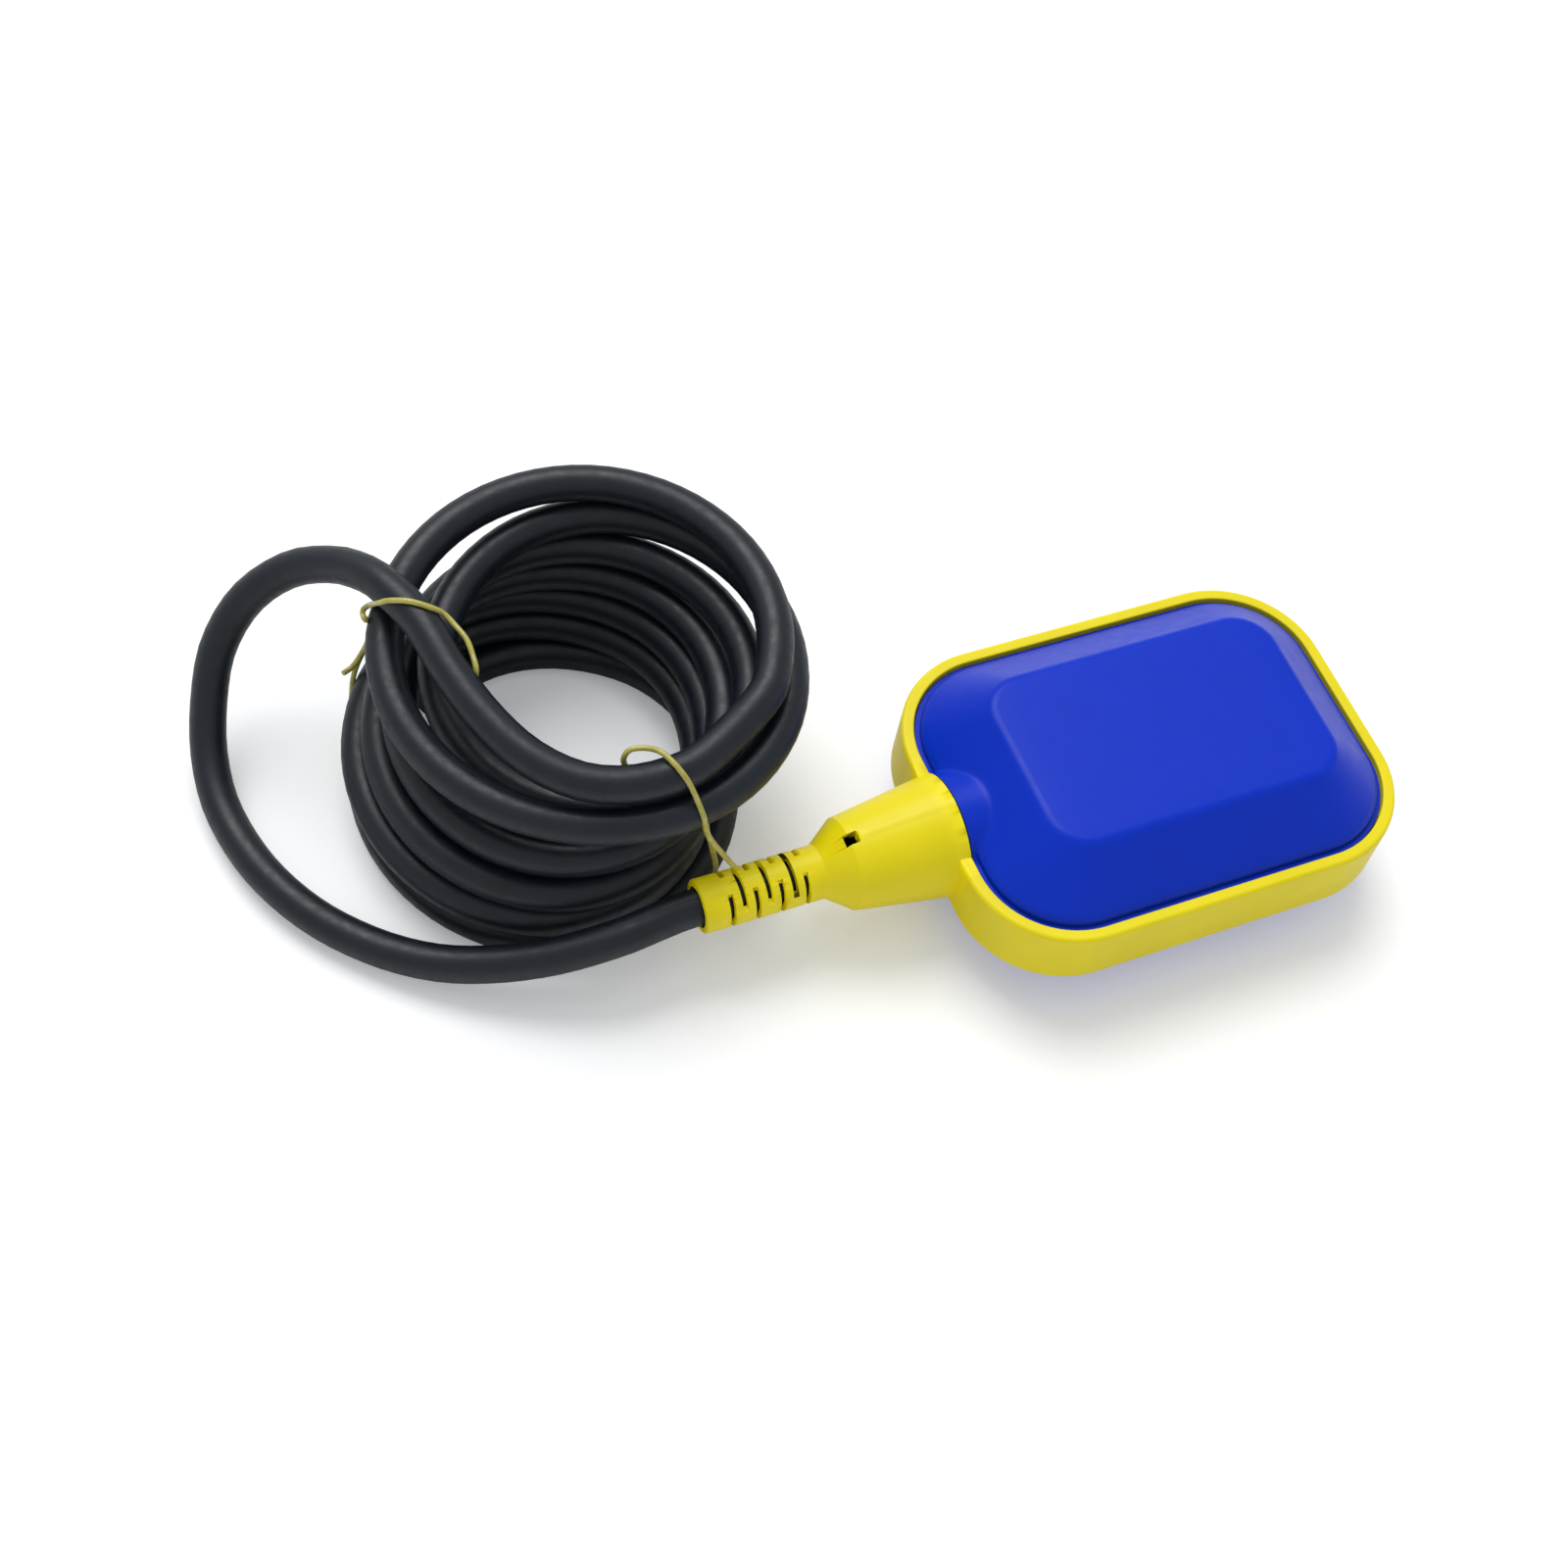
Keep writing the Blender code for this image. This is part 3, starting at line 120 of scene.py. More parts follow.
class Nodes:
    """Adds shader nodes to one new material and links them."""

    def __init__(self, name: str) -> None:
        """Starts a material of this name with its shader ready."""
        self.material = bpy.data.materials.new(name)
        self.material.use_nodes = True
        self.tree = self.material.node_tree
        self.shader = self.tree.nodes["Principled BSDF"]

    def add(self, kind: str, **settings: object) -> bpy.types.Node:
        """Adds a node and sets its properties."""
        node = self.tree.nodes.new(kind)
        for name, value in settings.items():
            setattr(node, name, value)
        return node

    def link(self, source: Socket, target: Socket) -> None:
        """Links an output to an input."""
        self.tree.links.new(source, target)

    def fill(self, node: bpy.types.Node, values: dict[str, float | Rgba | Point | Vector]) -> None:
        """Sets inputs of a node by their names."""
        for name, value in values.items():
            node.inputs[name].default_value = value

    def paint(self, colour: Socket, roughness: Socket) -> None:
        """Gives the shader its colour and its roughness."""
        self.link(colour, self.shader.inputs["Base Color"])
        self.link(roughness, self.shader.inputs["Roughness"])

    def place(self) -> Socket:
        """The surface's own position, in metres."""
        return self.add("ShaderNodeTexCoord").outputs["Object"]

    def noise(self, size: float, detail: float = 3.0, stretch: Vector | None = None) -> Socket:
        """A noise pattern.

        Args:
            size: the width of its spots in metres.
            detail: how many finer layers it has.
            stretch: how much the position is scaled along each axis first.

        Returns:
            The noise's value.
        """
        pattern = self.add("ShaderNodeTexNoise")
        self.fill(pattern, {"Scale": 1 / size, "Detail": detail})
        source = self.place()
        if stretch is not None:
            mapping = self.add("ShaderNodeMapping")
            self.fill(mapping, {"Scale": stretch})
            self.link(source, mapping.inputs["Vector"])
            source = mapping.outputs["Vector"]
        self.link(source, pattern.inputs["Vector"])
        return pattern.outputs["Fac"]

    def spread(self, value: Socket, low: float, high: float) -> Socket:
        """A noise's middle values spread over a range."""
        node = self.add("ShaderNodeMapRange")
        self.fill(node, {"From Min": NOISE_MIDDLE[0], "From Max": NOISE_MIDDLE[1]})
        self.fill(node, {"To Min": low, "To Max": high})
        self.link(value, node.inputs["Value"])
        return node.outputs["Result"]

    def mix(self, share: Socket, first: Rgba | Socket, second: Rgba) -> Socket:
        """A colour between two by share."""
        node = self.add("ShaderNodeMix", data_type="RGBA")
        self.link(share, node.inputs["Factor"])
        if isinstance(first, Socket):
            self.link(first, node.inputs["A"])
        else:
            node.inputs["A"].default_value = first
        node.inputs["B"].default_value = second
        return node.outputs["Result"]

    def bump(
        self, height: Socket, depth: float, strength: float, after: bpy.types.Node | None = None
    ) -> bpy.types.Node:
        """Bumps the surface by a height pattern.

        Args:
            height: the pattern.
            depth: how deep it is, in metres.
            strength: how strongly it tells.
            after: a bump that this one adds to.

        Returns:
            The bump node.
        """
        node = self.add("ShaderNodeBump")
        self.fill(node, {"Distance": depth, "Strength": strength})
        self.link(height, node.inputs["Height"])
        if after is not None:
            self.link(after.outputs["Normal"], node.inputs["Normal"])
        self.link(node.outputs["Normal"], self.shader.inputs["Normal"])
        return node


@dataclass(frozen=True)
class MouldedPlastic:
    """A moulded plastic with a fine eroded grain, faint flow mottling and a painted highlight that lightens
    its sharp edges.
    """

    colour: Colour
    roughness: float
    grain_size: float = 0.35 * MM
    grain_depth: float = 0.012 * MM
    mottle: float = 0.94
    mottle_size: float = 14.0 * MM
    # The painted edge highlight: how much lighter, how much of it, and over which pointiness
    edge_highlight_gain: float = 1.12
    edge_highlight_share: float = 0.6
    edge_from: float = 0.53
    edge_to: float = 0.62
    specular: float = 0.5
    sheen_size: float = 3.0 * MM
    wave_size: float = 9.0 * MM
    wave_depth: float = 0.05 * MM

    def build(self, name: str) -> bpy.types.Material:
        """Makes the material under this name."""
        nodes = Nodes(name)
        flow = nodes.spread(nodes.noise(self.mottle_size, detail=2.0), 0.0, 1.0)
        body = nodes.mix(flow, shade(self.colour), shade(self.colour, self.mottle))
        # Painted highlight: sharp edges, found by pointiness, get a lighter copy of the colour, standing in
        # for light catching them
        edge = nodes.add("ShaderNodeNewGeometry").outputs["Pointiness"]
        rub_and_highlight = nodes.add("ShaderNodeMapRange")
        nodes.fill(rub_and_highlight, {"From Min": self.edge_from, "From Max": self.edge_to, "To Max": self.edge_highlight_share})
        nodes.link(edge, rub_and_highlight.inputs["Value"])
        edge_highlighted = nodes.mix(rub_and_highlight.outputs["Result"], body, shade(self.colour, self.edge_highlight_gain))
        sheen = nodes.noise(self.sheen_size, detail=4.0)
        nodes.paint(edge_highlighted, nodes.spread(sheen, self.roughness - 0.03, self.roughness + 0.04))
        wave = nodes.bump(nodes.noise(self.wave_size, detail=1.0), self.wave_depth, strength=0.35)
        nodes.bump(nodes.noise(self.grain_size, detail=2.0), self.grain_depth, strength=0.8, after=wave)
        nodes.fill(nodes.shader, {"Specular IOR Level": self.specular})
        return nodes.material


@dataclass(frozen=True)
class CableJacket:
    """Dark rubber jacket: matte, with a little dust in its fine pores and rubbed streaks."""

    colour: Colour
    dust: Colour
    roughness: float
    patch_size: float = 5.0 * MM
    rub_size: float = 2.2 * MM
    wave_size: float = 6.0 * MM
    wave_depth: float = 0.12 * MM
    pore_size: float = 0.3 * MM
    pore_depth: float = 0.02 * MM
    specular: float = 0.45

    def build(self, name: str) -> bpy.types.Material:
        """Makes the material under this name."""
        nodes = Nodes(name)
        patches = nodes.spread(nodes.noise(self.patch_size, detail=5.0), 0.0, 0.5)
        dusty = nodes.mix(patches, shade(self.colour), shade(self.dust))
        rub_and_highlight = nodes.noise(self.rub_size, detail=4.0)
        nodes.paint(dusty, nodes.spread(rub_and_highlight, self.roughness - 0.07, self.roughness + 0.08))
        wave = nodes.bump(nodes.noise(self.wave_size, detail=2.0), self.wave_depth, strength=0.4)
        nodes.bump(nodes.noise(self.pore_size, detail=2.0), self.pore_depth, strength=0.7, after=wave)
        nodes.fill(nodes.shader, {"Specular IOR Level": self.specular})
        return nodes.material


@dataclass(frozen=True)
class CoatedWire:
    """Soft pale coating on a thin wire: smooth, a little see-through, uneven along its length."""

    colour: Colour
    deep: Colour
    flow_size: float = 3.0 * MM
    gloss: tuple[float, float] = (0.2, 0.34)
    gloss_size: float = 1.2 * MM
    lump_size: float = 1.5 * MM
    lump_depth: float = 0.06 * MM
    glow: float = 0.25
    glow_reach: Point = (0.8 * MM, 0.7 * MM, 0.3 * MM)
    coat: float = 0.3
    coat_roughness: float = 0.15

    def build(self, name: str) -> bpy.types.Material:
        """Makes the material under this name."""
        nodes = Nodes(name)
        flow = nodes.spread(nodes.noise(self.flow_size), 0.0, 0.8)
        body = nodes.mix(flow, shade(self.colour), shade(self.deep))
        nodes.paint(body, nodes.spread(nodes.noise(self.gloss_size, detail=2.0), *self.gloss))
        nodes.bump(nodes.noise(self.lump_size, detail=2.0), self.lump_depth, strength=0.5)
        nodes.fill(nodes.shader, {"Subsurface Weight": self.glow, "Subsurface Radius": self.glow_reach})
        nodes.fill(nodes.shader, {"Subsurface Scale": 1.0})
        nodes.fill(nodes.shader, {"Coat Weight": self.coat, "Coat Roughness": self.coat_roughness})
        return nodes.material


@dataclass(frozen=True)
class Metal:
    """Bare metal with fine drawn lines and slight tarnish."""

    colour: Colour
    tarnish: Colour
    roughness: float
    stretch: Point = (1.0, 1.0, 1.0)
    stain_size: float = 4.0 * MM
    line_size: float = 0.5 * MM
    line_depth: float = 0.01 * MM

    def build(self, name: str) -> bpy.types.Material:
        """Makes the material under this name."""
        nodes = Nodes(name)
        stain = nodes.spread(nodes.noise(self.stain_size, detail=4.0), 0.0, 0.6)
        body = nodes.mix(stain, shade(self.colour), shade(self.tarnish))
        lines = nodes.noise(self.line_size, stretch=Vector(self.stretch))
        nodes.paint(body, nodes.spread(lines, self.roughness, self.roughness + 0.1))
        nodes.bump(lines, self.line_depth, strength=0.4)
        nodes.fill(nodes.shader, {"Metallic": 1.0})
        return nodes.material


@dataclass(frozen=True)
class PaleFloor:
    """A plain pale floor with a barely visible tone, lifted a little where the camera sees it."""

    level: float = 0.9
    tint: float = 0.99
    tone_size: float = 120.0 * MM
    lift: float = 0.24

    def build(self, name: str) -> bpy.types.Material:
        """Makes the material under this name."""
        nodes = Nodes(name)
        tone = nodes.spread(nodes.noise(self.tone_size, detail=2.0), 0.0, 1.0)
        plain = (self.level, self.level, self.level, 1.0)
        cool = (self.level * self.tint, self.level * self.tint, self.level, 1.0)
        nodes.link(nodes.mix(tone, plain, cool), nodes.shader.inputs["Base Color"])
        seen = nodes.add("ShaderNodeMath", operation="MULTIPLY")
        seen.inputs[1].default_value = self.lift
        nodes.link(nodes.add("ShaderNodeLightPath").outputs["Is Camera Ray"], seen.inputs[0])
        nodes.link(seen.outputs["Value"], nodes.shader.inputs["Emission Strength"])
        nodes.fill(nodes.shader, {"Emission Color": COOL_WHITE})
        nodes.fill(nodes.shader, {"Roughness": 0.9, "Specular IOR Level": 0.1})
        return nodes.material


FINISHES: dict[Slot, MouldedPlastic | CableJacket | CoatedWire | Metal] = {
    Slot.YELLOW_PLASTIC: MouldedPlastic((244, 226, 2), 0.4, edge_highlight_gain=1.06, specular=0.32),
    Slot.BLUE_PLASTIC: MouldedPlastic((2, 50, 198), 0.34, grain_depth=0.018 * MM, specular=0.17),
    Slot.CABLE_JACKET: CableJacket((9, 18, 27), (18, 29, 41), 0.44),
    Slot.BLACK_RUBBER: CableJacket((30, 32, 36), (44, 46, 50), 0.6),
    Slot.WHITE_PLASTIC: MouldedPlastic((226, 226, 218), 0.45),
    Slot.LEVER_PLASTIC: MouldedPlastic((240, 240, 236), 0.35),
    Slot.STEEL: Metal((200, 202, 205), (168, 170, 174), 0.16),
    Slot.BRASS: Metal((196, 158, 84), (160, 122, 60), 0.24, (1.0, 1.0, 6.0)),
    Slot.SWITCH_BLACK: MouldedPlastic((26, 26, 29), 0.46),
    Slot.SWITCH_RED: MouldedPlastic((149, 30, 24), 0.42),
    Slot.PLUNGER_RED: MouldedPlastic((188, 40, 34), 0.32),
    Slot.CORE_BROWN: MouldedPlastic((97, 56, 33), 0.36),
    Slot.CORE_BLUE: MouldedPlastic((36, 92, 186), 0.36),
    Slot.CORE_BLACK: MouldedPlastic((28, 28, 31), 0.36),
    Slot.TIE_WIRE: CoatedWire((196, 188, 92), (158, 150, 70)),
}


class Wardrobe:
    """Makes each slot's material once and hands it out."""

    def __init__(self) -> None:
        """Starts with nothing made."""
        self.made: dict[Slot, bpy.types.Material] = {}

    def finish(self, slot: Slot) -> bpy.types.Material:
        """The material of a slot."""
        if slot not in self.made:
            self.made[slot] = FINISHES[slot].build(slot.value)
        return self.made[slot]

    def dress(self, piece: bpy.types.Object, slot: Slot) -> None:
        """Gives a piece its slot's material alone."""
        piece.data.materials.clear()
        piece.data.materials.append(self.finish(slot))


# Mesh and curve helpers


def outline(
    length: float, width: float, corner: float, steps: int, straight: int = 1, shift: float = 0.0
) -> Outline:
    """The outline of a rectangle with round corners, anticlockwise from its +X side.

    Args:
        length: its size along X.
        width: its size along Y.
        corner: the radius of its corners.
        steps: how many steps each corner has.
        straight: how many steps each straight side has.
        shift: how far it lies along X.

    Returns:
        Its points.
    """
    centres = (
        (length / 2 - corner, width / 2 - corner),
        (-length / 2 + corner, width / 2 - corner),
        (-length / 2 + corner, -width / 2 + corner),
        (length / 2 - corner, -width / 2 + corner),
    )
    points: Outline = []
    for quarter, (x, y) in enumerate(centres):
        for step in range(steps + 1):
            angle = math.pi / 2 * (quarter + step / steps)
            points.append((x + shift + corner * math.cos(angle), y + corner * math.sin(angle)))
        end = points[-1]
        next_x, next_y = centres[(quarter + 1) % 4]
        turn = math.pi / 2 * (quarter + 1)
        start = (next_x + shift + corner * math.cos(turn), next_y + corner * math.sin(turn))
        for step in range(1, straight):
            share = step / straight
            points.append((end[0] + (start[0] - end[0]) * share, end[1] + (start[1] - end[1]) * share))
    return points


def between(first: Outline, second: Outline, share: float) -> Outline:
    """An outline part of the way from one to another."""
    return [(a[0] + (b[0] - a[0]) * share, a[1] + (b[1] - a[1]) * share) for a, b in zip(first, second)]


def rounded(corners: list[Point], steps: int) -> Outline:
    """A closed outline whose corners, each with its radius, are rounded by arcs."""
    points: Outline = []
    for index, (x, z, radius) in enumerate(corners):
        here = Vector((x, z))
        before = (Vector(corners[index - 1][:2]) - here).normalized()
        after = (Vector(corners[(index + 1) % len(corners)][:2]) - here).normalized()
        if radius <= 0:
            points.append((x, z))
            continue
        half = before.angle(after) / 2
        centre = here + (before + after).normalized() * radius / math.sin(half)
        first = here + before * radius / math.tan(half) - centre
        last = here + after * radius / math.tan(half) - centre
        for step in range(steps + 1):
            arm = first.lerp(last, step / steps).normalized() * radius
            points.append(tuple(centre + arm))
    return points


def mesh_from(name: str, shape: bmesh.types.BMesh, sharp: float = SHARP_EDGE) -> bpy.types.Mesh:
    """A smooth mesh from a bmesh, with edges sharper than an angle in degrees kept hard."""
    bmesh.ops.recalc_face_normals(shape, faces=shape.faces)
    mesh = bpy.data.meshes.new(name)
    shape.to_mesh(mesh)
    shape.free()
    mesh.shade_smooth()
    mesh.set_sharp_from_angle(angle=math.radians(sharp))
    return mesh


def ring_object(
    name: str, rings: list[list[Vector]], closed: bool = True, sharp: float = SHARP_EDGE
) -> bpy.types.Object:
    """An object whose mesh goes through rings of points.

    Args:
        name: its name.
        rings: rings of equal length, or of one point where the shape comes to a tip.
        closed: whether the last ring joins the first; otherwise both ends are capped.
        sharp: the angle in degrees above which an edge stays hard.

    Returns:
        The object.
    """
    shape = bmesh.new()
    loops = [[shape.verts.new(point) for point in ring] for ring in rings]
    count = max(len(loop) for loop in loops)
    pairs = list(zip(loops, loops[1:]))
    if closed:
        pairs.append((loops[-1], loops[0]))
    for first, second in pairs:
        if len(first) == len(second) == 1:
            continue
        for i in range(count):
            j = (i + 1) % count
            corners = [first[i % len(first)], first[j % len(first)]]
            corners += [second[j % len(second)], second[i % len(second)]]
            shape.faces.new(dict.fromkeys(corners))
    if not closed:
        for loop in (loops[0], loops[-1]):
            if len(loop) > 2:
                shape.faces.new(loop)
    return new_object(name, mesh_from(name, shape, sharp))


def turned_rings(profile: Outline, steps: int) -> list[list[Vector]]:
    """Rings about the cable's axis from (along, radius) points, in the float's own axes."""
    rings = []
    for along, radius in profile:
        ring = []
        for step in range(steps if radius > 0 else 1):
            angle = math.tau * (step + 0.5) / steps
            ring.append(Vector((along, radius * math.cos(angle), radius * math.sin(angle))))
        rings.append(ring)
    return rings


def add_box(shape: bmesh.types.BMesh, low: Point, high: Point) -> None:
    """Adds a box between two corners."""
    size = Vector(high) - Vector(low)
    middle = (Vector(high) + Vector(low)) / 2
    matrix = Matrix.Translation(middle) @ Matrix.Diagonal((*size, 1.0))
    bmesh.ops.create_cube(shape, size=1.0, matrix=matrix)


def new_object(name: str, data: bpy.types.Mesh | bpy.types.Curve) -> bpy.types.Object:
    """An object of this mesh or curve in the scene."""
    made = bpy.data.objects.new(name, data)
    bpy.context.scene.collection.objects.link(made)
    return made


def combine(target: bpy.types.Object, other: bpy.types.Object, operation: str) -> None:
    """Joins or cuts the target with another object when its modifiers are applied."""
    modifier = target.modifiers.new(f"{operation.lower()} {other.name}", "BOOLEAN")
    modifier.operation = operation
    modifier.solver = "EXACT"
    modifier.object = other


def apply_shape(target: bpy.types.Object, helpers: list[bpy.types.Object], sharp: float) -> None:
    """Puts a piece's modifiers into its mesh and removes the helpers.

    Args:
        target: the piece.
        helpers: the objects that its modifiers used.
        sharp: the angle in degrees above which an edge stays hard.
    """
    evaluated = target.evaluated_get(bpy.context.evaluated_depsgraph_get())
    mesh = bpy.data.meshes.new_from_object(evaluated)
    target.modifiers.clear()
    target.data = mesh
    mesh.name = target.name
    mesh.shade_smooth()
    mesh.set_sharp_from_angle(angle=math.radians(sharp))
    for helper in helpers:
        bpy.data.objects.remove(helper, do_unlink=True)


def soften(target: bpy.types.Object, width: float, segments: int = 2) -> None:
    """Rounds the hard edges of a piece by a small bevel, with its flat faces kept flat in shading."""
    bevel = target.modifiers.new("edge rounding", "BEVEL")
    bevel.width = width
    bevel.segments = segments
    bevel.limit_method = "ANGLE"
    bevel.angle_limit = math.radians(SHARP_CUT)
    bevel.harden_normals = False
    bevel.use_clamp_overlap = True
    target.modifiers.new("shading", "WEIGHTED_NORMAL").keep_sharp = True


def glide(before: Spot, first: Spot, second: Spot, after: Spot, share: float) -> Spot:
    """A value between the first and the second on the smooth curve through all four."""
    bend = 2 * before - 5 * first + 4 * second - after
    twist = 3 * first - before - 3 * second + after
    return (2 * first + (second - before) * share + bend * share**2 + twist * share**3) / 2


def smooth_route(points: list[Vector], spacing: float) -> list[Vector]:
    """Evenly spaced points on a smooth curve through the given ones."""
    padded = [2 * points[0] - points[1], *points, 2 * points[-1] - points[-2]]
    fine = []
    for a, b, c, d in zip(padded, padded[1:], padded[2:], padded[3:]):
        for step in range(CURVE_STEPS):
            fine.append(glide(a, b, c, d, step / CURVE_STEPS))
    fine.append(points[-1])
    runs = [0.0]
    for first, second in zip(fine, fine[1:]):
        runs.append(runs[-1] + (second - first).length)
    count = max(2, round(runs[-1] / spacing))
    spaced = []
    at = 0
    for index in range(count + 1):
        distance = runs[-1] * index / count
        while at < len(runs) - 2 and runs[at + 1] < distance:
            at += 1
        share = (distance - runs[at]) / (runs[at + 1] - runs[at])
        spaced.append(fine[at].lerp(fine[at + 1], min(1.0, share)))
    return spaced


def tube(name: str, points: list[Vector], radius: float, resolution: int) -> bpy.types.Object:
    """A round wire or cable as one curve object.

    Args:
        name: the object's name.
        points: its middle line.
        radius: half its thickness.
        resolution: how finely it is round.

    Returns:
        The curve object.
    """
    curve = bpy.data.curves.new(name, "CURVE")
    curve.dimensions = "3D"
    curve.bevel_depth = radius
    curve.bevel_resolution = resolution
    curve.use_fill_caps = True
    spline = curve.splines.new("POLY")
    spline.points.add(len(points) - 1)
    for point, position in zip(spline.points, points):
        point.co = (*position, 1.0)
    spline.use_smooth = True
    return new_object(name, curve)


def settle(piece: bpy.types.Object, slot: Slot, wardrobe: Wardrobe, stands_for: tuple[str, ...] = ()) -> None:
    """Dresses a new piece, sets it on the float and hides the solids it stands for."""
    wardrobe.dress(piece, slot)
    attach(piece, "float")
    if stands_for:
        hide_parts(*stands_for)
    LOG.info("%s: %s", piece.name, slot.value)


# The float


@dataclass(frozen=True)
class FloatSizes:
    """The sizes that the yellow moulding and the blue covers share."""

    length: float = 109.0 * MM
    width: float = 81.0 * MM
    height: float = 41.5 * MM
    corner: float = 24.6 * MM
    band: float = 16.8 * MM
    rim: float = 3.0 * MM
    gap: float = 0.3 * MM
    neck_root: float = 14.1 * MM
    neck_end: float = 10.9 * MM
    neck_length: float = 22.5 * MM
    neck_set_back: float = 0.2 * MM
    cable: float = 4.25 * MM
    web_thickness: float = 3.0 * MM

    @property
    def taper(self) -> float:
        """How fast the neck widens towards the float."""
        return (self.neck_root - self.neck_end) / self.neck_length

    @property
    def neck_start(self) -> float:
        """The radius at which the neck leaves the rim's inner face."""
        return self.neck_root + self.taper * self.rim

    def inset(self, inset: float, steps: int, straight: int = 1) -> Outline:
        """The float's outline, moved in from the band's outer face."""
        return outline(self.length - 2 * inset, self.width - 2 * inset, self.corner - inset, steps, straight)


@dataclass
class FloatFrame:
    """The yellow moulding: rim band, inner web, neck with its window, and slotted bend relief."""

    sizes: FloatSizes
    web_reach: float = 5.0 * MM
    rim_round: float = 1.0 * MM
    inner_round: float = 0.4 * MM
    wall: float = 2.4 * MM
    shoulder: float = 6.3 * MM
    shoulder_round: float = 0.7 * MM
    tail: float = 29.0 * MM
    tail_radius: float = 6.3 * MM
    tail_bore: float = 4.8 * MM
    tail_round: float = 0.5 * MM
    tail_root_round: float = 0.8 * MM
    tail_ring_shift: float = 1.5 * MM
    slot_pitch: float = 6.0 * MM
    slot_width: float = 1.3 * MM
    side_slots: int = 4
    first_slot: float = 6.3 * MM
    bridge: float = 4.6 * MM
    window_length: float = 3.2 * MM
    window_width: float = 3.0 * MM
    window_over: float = 1.1 * MM
    edge: float = 0.22 * MM
    mould_line: float = 0.13 * MM
    steps: int = 112
    corner_steps: int = 28
    neck_rings: int = 9
    tail_rings: int = 12
    band_arc_steps: int = 6
    neck_arc_steps: int = 5

    @property
    def neck_end_x(self) -> float:
        """Where the neck ends and its shoulder starts, in the float's own axes."""
        return -self.sizes.length / 2 - self.sizes.neck_length

    @property
    def tail_end_x(self) -> float:
        """The bend relief's open end, in the float's own axes."""
        return self.neck_end_x - self.shoulder - self.tail

    def band(self) -> bpy.types.Object:
        """The rim band with its inner web, as one closed ring."""
        half, web = self.sizes.band / 2, self.sizes.web_thickness / 2
        deep = self.sizes.rim + self.web_reach
        section = rounded(
            [
                (0.0, -half, self.rim_round),
                (0.0, half, self.rim_round),
                (self.sizes.rim, half, self.inner_round),
                (self.sizes.rim, web, 0.0),
                (deep, web, 0.0),
                (deep, -web, 0.0),
                (self.sizes.rim, -web, 0.0),
                (self.sizes.rim, -half, self.inner_round),
            ],
            self.band_arc_steps,
        )
        rings = []
        for inset, z in section:
            rings.append([Vector((x, y, z)) for x, y in self.sizes.inset(inset, self.corner_steps)])
        return ring_object("float_moulding", rings)

    def neck(self) -> bpy.types.Object:
        """The outside of the neck, its shoulder and the bend relief."""
        sizes = self.sizes
        start = -sizes.length / 2 + sizes.rim - sizes.neck_set_back
        root = self.neck_end_x - self.shoulder
        sides = []
        for step in range(self.neck_rings):
            along = start + (self.neck_end_x - start) * step / self.neck_rings
            radius = sizes.neck_start + (sizes.neck_end - sizes.neck_start) * step / self.neck_rings
            sides.append((along, radius, 0.0))
        tail = []
        for step in range(1, self.tail_rings):
            along = root + self.tail_ring_shift - self.tail * step / self.tail_rings
            tail.append((along, self.tail_radius, 0.0))
        profile = rounded(
            [
                (start, 0.0, 0.0),
                *sides,
                (self.neck_end_x, sizes.neck_end, self.shoulder_round),
                (root, self.tail_radius, self.tail_root_round),
                *tail,
                (self.tail_end_x, self.tail_radius, self.tail_round),
                (self.tail_end_x, 0.0, 0.0),
            ],
            self.neck_arc_steps,
        )
        rings = turned_rings(profile, self.steps)
        for ring in rings[1 : 1 + len(sides)]:
            for step in (self.steps // 4 - 1, self.steps // 4):
                ring[step].z += self.mould_line
        return ring_object("neck_blank", rings)

    def bore(self) -> bpy.types.Object:
        """The space in the neck and the cable's bore through the bend relief."""
        sizes = self.sizes
        inner = -sizes.length / 2 + sizes.rim + self.web_reach + OVERREACH
        at_end = sizes.neck_end - self.wall
        profile = [
            (inner, 0.0),
            (inner, at_end + sizes.taper * (inner - self.neck_end_x)),
            (self.neck_end_x, at_end),
            (self.neck_end_x - self.wall, self.tail_bore),
            (self.tail_end_x - OVERREACH, self.tail_bore),
            (self.tail_end_x - OVERREACH, 0.0),
        ]
        return ring_object("neck_bore", turned_rings(profile, self.steps))

    def cuts(self) -> bpy.types.Object:
        """The slots of the bend relief and the window over the shoulder."""
        shape = bmesh.new()
        reach = self.tail_radius + OVERREACH
        inner = self.bridge / 2
        for row in range(2 * self.side_slots - 1):
            x = self.tail_end_x + self.first_slot + row * self.slot_pitch / 2
            low, high = x - self.slot_width / 2, x + self.slot_width / 2
            for side in (-1, 1):
                near, far = sorted((side * inner, side * reach))
                if row % 2 == 0:
                    add_box(shape, (low, near, -reach), (high, far, reach))
                else:
                    add_box(shape, (low, -reach, near), (high, reach, far))
        start = self.neck_end_x - self.window_over
        end = start + self.window_length
        half = self.window_width / 2
        add_box(shape, (start, -half, self.sizes.cable), (end, half, self.sizes.neck_start))
        return new_object("slot_cutters", mesh_from("slot_cutters", shape))

    def build(self, wardrobe: Wardrobe) -> bpy.types.Object:
        """Builds the moulding in one piece, dressed from the wardrobe."""
        body, neck, bore, cuts = self.band(), self.neck(), self.bore(), self.cuts()
        combine(body, neck, "UNION")
        combine(body, bore, "DIFFERENCE")
        combine(body, cuts, "DIFFERENCE")
        soften(body, self.edge)
        apply_shape(body, [neck, bore, cuts], SHARP_CUT)
        body.data.transform(Matrix.Translation(MIDDLE))
        settle(body, Slot.YELLOW_PLASTIC, wardrobe, ("float_frame",))
        return body


